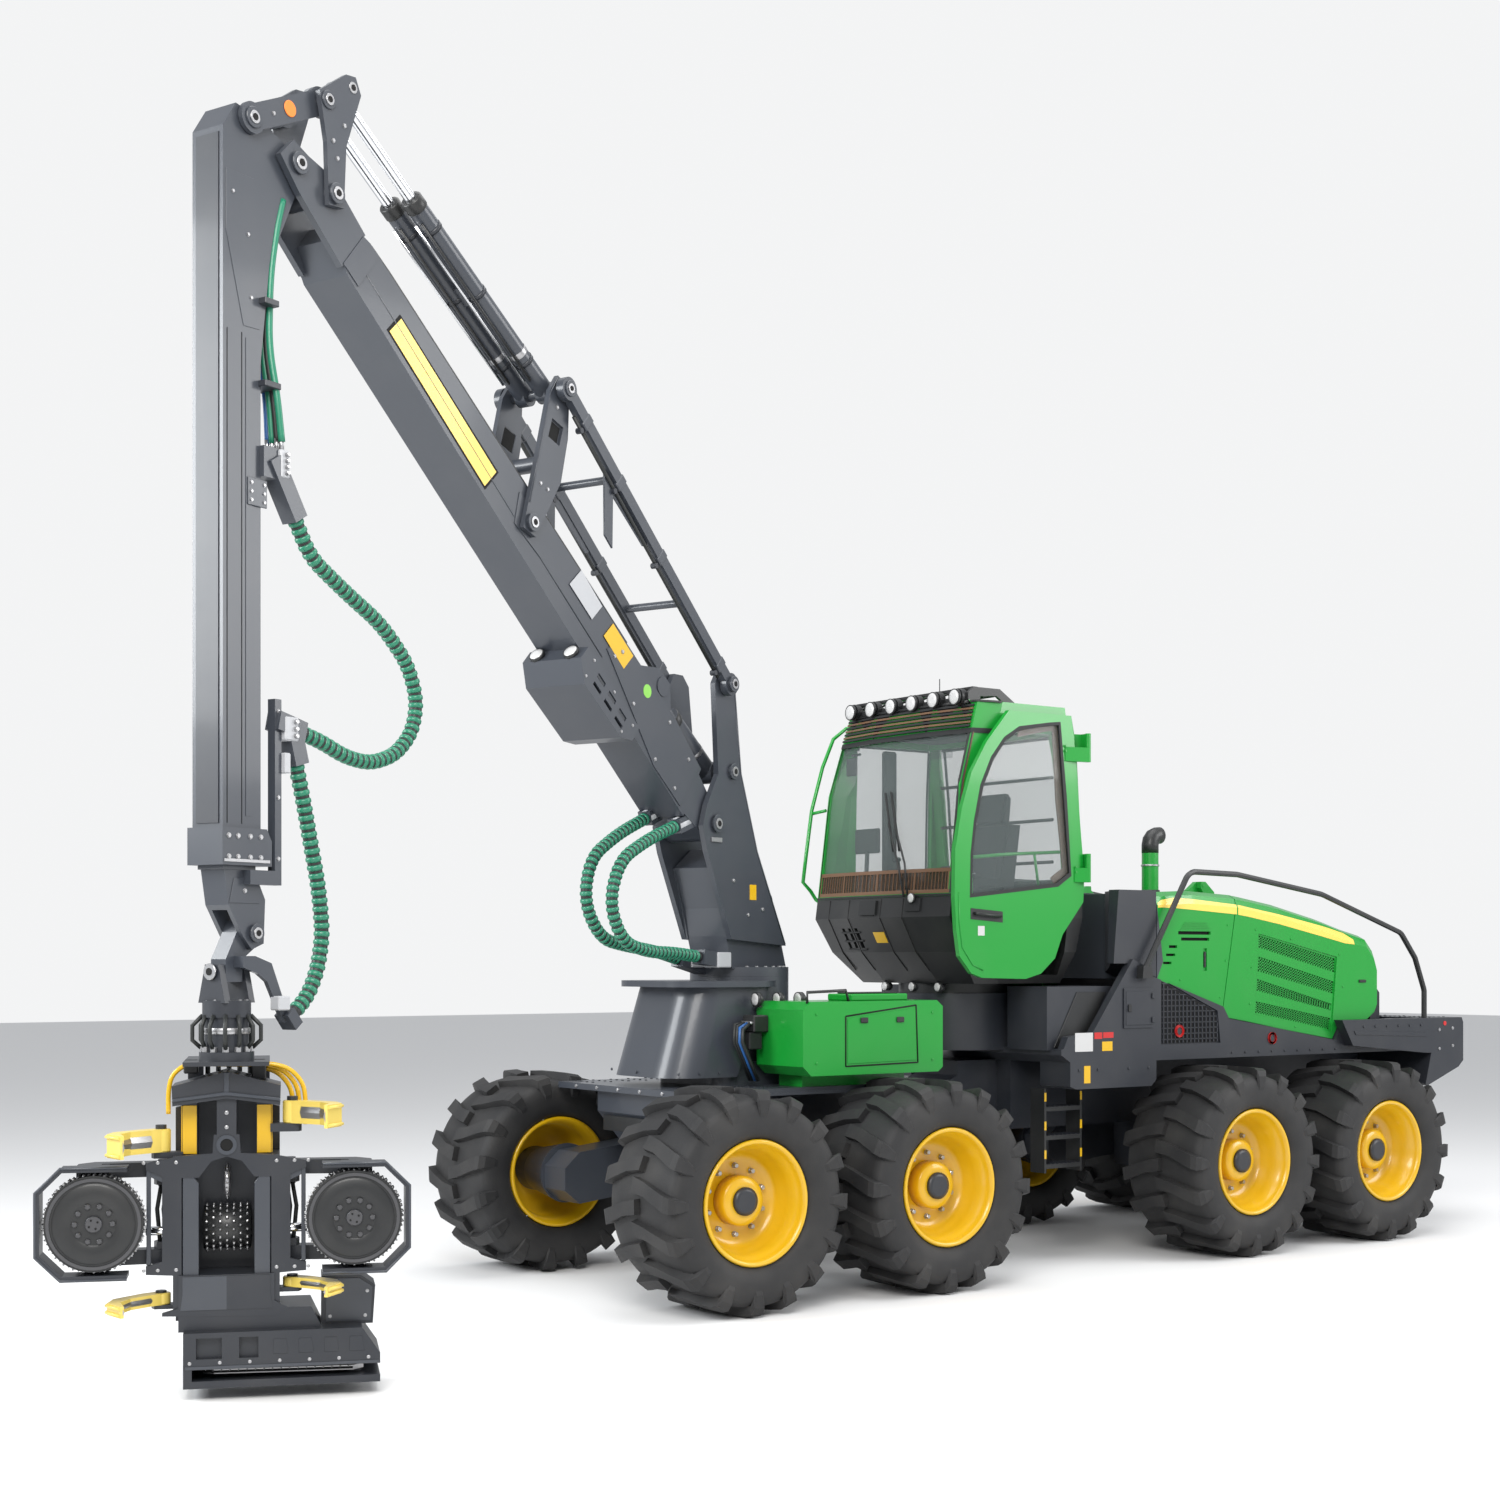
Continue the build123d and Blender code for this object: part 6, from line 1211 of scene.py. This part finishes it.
def makeJibDetails():
    made = Piece("jib_details", "jib", "charcoal")
    for side in (-1, 1):
        made.cheek(side, ((4.522, 5.16), (4.630, 5.155), (4.745, 5.59), (4.745, 5.88), (4.56, 5.88),
                          (4.48, 5.60)), jibHalf, 0.003, charcoal, 0.001)
        made.bolts(cranePlane, side, ((4.70, 5.78), (4.60, 5.60), (4.58, 5.30)), 0.009, jibHalf + 0.003)
        # the long seams
        for out in (4.640, 4.735):
            made.tube([onCrane(out, up, side * (jibHalf + 0.0002)) for up in (2.76, 5.12)], 0.0025, shadow, 6)
        # the collar's bolts and edge
        made.bolts(cranePlane, side, [(out, up) for out in (4.53, 4.60, 4.68, 4.74) for up in (2.60, 2.70)],
                   0.012, collarHalf)
        made.cheek(side, rectangle(4.47, 4.77, 2.575, 2.590), collarHalf, 0.004, steel, 0.001)
    # bracket with bolts and silver manifold with its valves
    made.box(cranePlane, (4.480, 4.606), (4.30, 4.434), (-0.112, -0.102), charcoal, 0.002)
    made.bolts(cranePlane, -1, [(out, up) for out in (4.50, 4.585) for up in (4.325, 4.367, 4.41)], 0.009,
               0.112)
    made.box(cranePlane, (4.36, 4.425), (4.46, 4.60), (-0.150, -0.015), silver, 0.008)
    for i in range(4):
        made.disc(cranePlane, (4.39, 4.485 + i * 0.030), 0.011, -0.172, -0.150, steel, 12, 0.003)
        right = -0.13 + i * 0.032
        made.tube([onCrane(4.40, 4.59, right), onCrane(4.405, 4.66, right)], 0.012, steel, 10)
    # pipes down the jib's rear face to the manifold, and the clamps that hold them
    for i, material in enumerate((hoseGreen, hoseBlack, hoseGreen, bluePipe)):
        route = ((4.40, 4.64), (4.43 - i * 0.006, 4.85), (4.455, 5.10), (4.445, 5.45), (4.40, 5.70),
                 (4.36, 5.84))
        right = -0.13 + i * 0.032
        path = alongPath(rounded([onCrane(out, up, right * (1 if up < 5 else 0.75)) for out, up in route]),
                         0.03)[0]
        made.tube(path, 0.015 if i % 2 else 0.018, material)
    for up, out in ((4.90, 4.452), (5.30, 4.465)):
        made.box(cranePlane, (out - 0.03, 4.53), about(up, 0.015), (-0.150, -0.015), darkFrame, 0.003)
    # cap of the jib's outer face
    made.box(cranePlane, (4.7615, 4.7665), (2.76, 6.05), (-0.075, 0.075), darkFrame)
    made.done()
    made = Piece("jib_extension_details", "extension", "charcoal")
    made.pinCaps((4.530, 2.236), 0.090, 0.045)
    made.box(cranePlane, (4.30, 4.395), (3.18, 3.30), (-0.152, -0.050), silver, 0.008)
    for i in range(3):
        made.disc(cranePlane, (4.33, 3.205 + i * 0.035), 0.012, -0.172, -0.152, steel, 12, 0.003)
    made.box(cranePlane, (4.355, 4.395), (3.02, 3.12), (-0.150, -0.052), silver, 0.006)
    made.bolts(cranePlane, -1, [(4.418, up) for up in (2.60, 2.90, 3.32)], 0.010, 0.124)
    for side in (-1, 1):
        made.cheek(side, ((4.50, 2.38), (4.70, 2.38), (4.67, 2.50), (4.50, 2.50)), 0.078, 0.004, charcoal,
                   0.001)
        made.bolts(cranePlane, side, ((4.60, 2.44),), 0.011, 0.082)
    made.done()


makeColumnDetails()
makeBoomDetails()
makeLinkDetails()
makeCylinderDetails()
makeJibDetails()
print("crane detailed")


# Rotator and head
def makeRotatorDetails():
    made = Piece("rotator_details", "swivel", "black")
    column = planeAt(headCentre, (1, 0, 0), (0, 1, 0))
    made.bolts(column, 1, ringOf((0, 0), 0.095, 10), 0.010, 1.91)
    for i, (x, y) in enumerate(ringOf((0, 0), 0.118, 12, 0.1)):
        swell = 1.1 * (1.0 + 0.12 * (i % 3))
        made.tube([column @ Vector((x * reach, y * reach, z))
                   for reach, z in ((0.95, 1.84), (swell, 1.79), (swell, 1.72), (0.95, 1.675))], 0.011,
                  hoseBlack)
        made.disc(column, (x * 0.95, y * 0.95), 0.016, 1.665, 1.690, steel, 8)
    made.band(column, [(0.108, 1.75), (0.112, 1.755), (0.112, 1.775), (0.108, 1.78)], steel, 32)
    made.done()
    made = Piece("hanger_details", "hanger", "charcoal")
    for side in (-1, 1):
        # pin ends, each with a black disc as painted shade of its hole
        plane = planeAt(onCrane(headOut + side * 0.105, 2.05), craneRight, upwards * -side)
        made.disc(plane, (0, 0), 0.040, 0.0, 0.010, steel, 24, 0.002)
        made.disc(plane, (0, 0), 0.018, 0.010, 0.014, shadow, 12)
    made.box(cranePlane, (4.36, 4.44), (1.86, 1.93), (-0.152, -0.088), silver, 0.006)
    made.done()


# Small cones round a centre of a plane. A least cosine leaves out those at its back.
def spikes(piece, plane, centre, height, near, tip, count, start, size, least=-1.0):
    for i in range(count):
        a = 2 * math.pi * (i + start) / count
        if math.cos(a) >= least:
            way = Vector((math.cos(a), math.sin(a), 0))
            foot = Vector((*centre, height))
            piece.tube([plane @ (foot + way * reach) for reach in (near, tip)], size, steel, 4)


def makeHeadDetails():
    made = Piece("head_details", "head", "black")
    for side in (-1, 1):
        # yellow plates on the towers under the crown
        made.box(headPlane, (side * 0.142, side * 0.208), (1.168, 1.402), (-0.060, -0.055), yellow, 0.001)
        made.box(headPlane, outside(side, 0.210, 0.005), (1.168, 1.402), (-0.265, -0.062), yellow, 0.001)
        # posts and panels of the front, with the windows between them
        # columns: outline, low, high, bevel
        for outline, low, high, bevel in (
                (((0.130, 0.590), (0.205, 0.590), (0.205, 1.165), (0.172, 1.165), (0.172, 1.09),
                  (0.130, 1.03)), -0.006, 0.016, 0.002),
                (rectangle(0.352, 0.373, 0.645, 1.10), -0.004, 0.014, 0.002),
                (((0.372, 1.10), (0.29, 1.08), (0.255, 1.04), (0.28, 1.03), (0.352, 1.065)), -0.002, 0.012,
                 0.001)):
            made.prism(headPlane, [(side * across, up) for across, up in outline], low, high, charcoal, bevel)
        # chrome rod and hose arcs behind the side windows
        made.tube([onHead(side * across, 0.80, -0.06) for across in (0.23, 0.38)], 0.022, chrome, 16)
        made.tube([onHead(side * (0.225 + 0.055 * math.sin(math.pi * i / 10)),
                          0.80 - 0.13 * math.cos(math.pi * i / 10), -0.03) for i in range(11)], 0.010, steel)
        for i in range(3):
            made.tube([onHead(side * across, up, forward) for across, up, forward in
                       ((0.25 + i * 0.03, 0.68, -0.09), (0.27 + i * 0.03, 0.90, -0.11),
                        (0.25 + i * 0.025, 1.08, -0.09))], 0.011, hoseBlack)
        # bolts of the front, and the throat's cheeks in two tones
        made.bolts(headPlane, 1, [(side * across, up) for up in (0.62, 1.135)
                                  for across in (0.235, 0.32, 0.385)], 0.008, 0.020)
        made.prism(headPlane, [(0, 0.425), (side * 0.215, 0.425), (side * 0.205, 0.50), (side * 0.205, 0.585),
                               (0, 0.585)], 0.032, 0.036, charcoal if side < 0 else darkFrame)
    # the arch with its round hole, filled with a black disc as painted shade
    made.hoop(headPlane, (0, 1.215), 0.048, 0.030, 0.020, 0.026, charcoal, 24)
    made.disc(headPlane, (0, 1.215), 0.030, 0.018, 0.022, shadow, 20)
    made.bolts(headPlane, 1, ((0, 1.37), (0, 1.30)), 0.009, 0.020)
    # ridge of the crown
    made.prism(headPlane, [(-0.255, 1.425), (0, 1.455), (0.255, 1.425), (0.250, 1.440), (0, 1.472),
                           (-0.250, 1.440)], 0.036, 0.050, charcoal, 0.002)
    made.box(headPlane, (-0.012, 0.012), (1.46, 1.565), (0.036, 0.046), charcoal, 0.002)
    # chequered feed roller in the middle and the measuring wheel over it
    middleRoller = planeAt(onHead(0, 0.80, -0.16), headForward, upwards)
    made.turned(middleRoller, (0, 0), [(0.085, -0.115), (0.105, -0.112), (0.105, 0.112), (0.085, 0.115)],
                black, 32)
    for row in range(7):
        spikes(made, middleRoller, (0, 0), -0.096 + row * 0.032, 0.105, 0.119, 18, 0.5 * (row % 2),
               [0.011, 0.004], -0.3)
    made.turned(middleRoller, (0.03, 0.225), [(0.060, -0.014), (0.078, -0.010), (0.078, 0.010),
                                              (0.060, 0.014)], steel, 28)
    spikes(made, middleRoller, (0.03, 0.225), 0, 0.077, 0.088, 20, 0, [0.008, 0.003])
    # yellow hose loops over the crown
    whole = ((-0.277, 1.36), (-0.277, 1.471), (-0.262, 1.548), (-0.197, 1.600), (-0.10, 1.600), (0.06, 1.595),
             (0.21, 1.600), (0.30, 1.575), (0.365, 1.50), (0.375, 1.40), (0.372, 1.30))
    for shift, loop in ((0, whole), (-0.03, whole[6:]), (-0.06, whole[6:])):
        path = alongPath(rounded([onHead(across + shift, up + shift * 0.3, -0.10 + shift)
                                  for across, up in loop]), 0.02)[0]
        made.tube(path, 0.012, yellow)
    made.box(headPlane, (-0.205, -0.135), (1.555, 1.62), (-0.14, -0.07), black, 0.006)
    made.box(headPlane, (0.115, 0.185), (1.52, 1.62), (-0.14, -0.07), black, 0.006)
    # motor box: cover and bolts
    made.prism(headPlane, [(0.47, 0.335), (0.685, 0.335), (0.695, 0.50), (0.63, 0.545), (0.47, 0.545)], -0.050,
               -0.046, charcoal, 0.001)
    made.bolts(headPlane, 1, ((0.49, 0.36), (0.66, 0.36), (0.49, 0.52), (0.67, 0.48)), 0.008, -0.046)
    # saw housing: edge strip, bolts and raised fields
    made.box(headPlane, (-0.19, 0.72), (0.152, 0.166), (0.100, 0.104), charcoal)
    made.bolts(headPlane, 1, [(-0.17 + i * 0.14, 0.182) for i in range(7)], 0.008, 0.100)
    for across in (0.22, 0.34, 0.46, 0.58):
        made.prism(headPlane, [(across, 0.215), (across + 0.07, 0.215), (across + 0.06, 0.285),
                               (across, 0.285)], 0.100, 0.103, darkFrame, 0.001)
    made.done()


def makeRollerDetails():
    for name, side in (("left", -1), ("right", 1)):
        centre = (side * 0.600, 0.870)
        made = Piece(f"feed_roller_{name}_details", f"roller_{name}", "steel")
        made.hoop(headPlane, centre, 0.215, 0.200, 0.195, 0.203, darkSteel, 48)
        made.turned(headPlane, centre, [(0.190, 0.195), (0.180, 0.201), (0.110, 0.199), (0.100, 0.195)], black,
                    40, capped=False)
        for place in ringOf(centre, 0.085, 10):
            made.disc(headPlane, place, 0.013, 0.195, 0.206, darkSteel, 14, 0.003)
        # five black discs on the face: painted shade of its holes
        for place in ringOf(centre, 0.150, 5, 0.3):
            made.disc(headPlane, place, 0.026, 0.195, 0.198, shadow, 18)
        for row in range(4):
            spikes(made, headPlane, centre, 0.085 + row * 0.030, 0.224, 0.236, 30, 0.5 * (row % 2),
                   [0.010, 0.003])
        made.done()
        made = Piece(f"feed_arm_{name}_details", f"arm_{name}", "black")
        made.disc(headPlane, centre, 0.038, 0.200, 0.212, darkSteel, 24, 0.003)
        # four black dots on the cap: painted shade of its holes
        for place in ringOf(centre, 0.022, 4, 0.5):
            made.disc(headPlane, place, 0.005, 0.212, 0.216, shadow, 8)
        made.bolts(headPlane, 1, [(side * 0.635, up) for up in (0.66, 0.69, 1.08, 1.11)], 0.009, -0.004)
        # edge of the guard
        made.tube([onHead(centre[0] + side * across, centre[1] + up, 0.200) for across, up in
                   ((-0.15, 0.262), (0.15, 0.262), (0.262, 0.15), (0.262, -0.15), (0.15, -0.262),
                    (-0.15, -0.262))], 0.007, charcoal, 6)
        made.done()


def makeKnifeDetails():
    edge = ((0.465, 0.322), (0.490, 0.190), (0.448, 0.090), (0.358, 0.000))
    back = ((0.410, -0.052), (0.524, 0.082), (0.543, 0.200), (0.476, 0.328))
    # columns: name, side, low, high
    knives = (("upper_knife_left", -1, 1.180, 1.290), ("upper_knife_right", 1, 1.310, 1.420),
              ("lower_knife_left", -1, 0.445, 0.500), ("lower_knife_right", 1, 0.512, 0.560))
    for name, side, low, high in knives:
        made = Piece(f"{name}_details", name, "knife_yellow")
        made.skin([[onHead(side * across, low + 0.004, forward), onHead(side * across, high - 0.004, forward),
                    onHead(side * (across - 0.014), (low + high) / 2, forward + 0.004)]
                   for across, forward in edge], steel)
        # ribs along the back of the blade, and its hub
        for up in (low + 0.012, high - 0.012):
            made.tube([onHead(side * across, up, forward) for across, forward in back], 0.008, knifeYellow)
        made.disc(planeAt(onHead(side * 0.310, 0, -0.080), (1, 0, 0), (0, 1, 0)), (0, 0), 0.046, low + 0.002,
                  high - 0.002, knifeYellow, 28, 0.003)
        made.done()
    made = Piece("saw_bar_details", "saw", "steel")
    chain = ((0.640, -0.104), (0.0, -0.118), (-0.062, -0.112), (-0.112, -0.071), (-0.112, -0.029),
             (-0.062, 0.002), (0.10, 0.008), (0.598, 0.032))
    path = alongPath([onHead(across, 0.121, forward) for across, forward in chain], 0.02)[0]
    made.tube(path, 0.006, shadow, 6)
    for point in path[1::2]:
        made.tube([point, point + Vector((0, 0, 0.010))], [0.006, 0.003], steel, 4)
    made.done()


def makeYokeDetails():
    made = Piece("yoke_details", "yoke", "black")
    sideways = planeAt(onHead(0, 1.0, -0.49), headForward, upwards)  # z to the head's left
    for side in (-1, 1):
        low, high = outside(-side, 0.200, 0.012)
        made.disc(sideways, (0, 0), 0.055, low, high, steel, 28, 0.003)
        for y in (0.30, 0.45, 0.58):
            made.disc(sideways, (0.02, y), 0.012, low, high, steel, 12, 0.003)
    # hoses from the rotator down behind the yoke
    for across in (-0.08, -0.04, 0.0, 0.04, 0.08):
        made.tube([onHead(across, 1.615, -0.32), onHead(across, 1.66, -0.40), onHead(across * 1.3, 1.60, -0.47),
                   onHead(across * 1.3, 1.40, -0.49)], 0.013, hoseBlack)
    made.done()


makeRotatorDetails()
makeHeadDetails()
makeRollerDetails()
makeKnifeDetails()
makeYokeDetails()
print("head detailed")
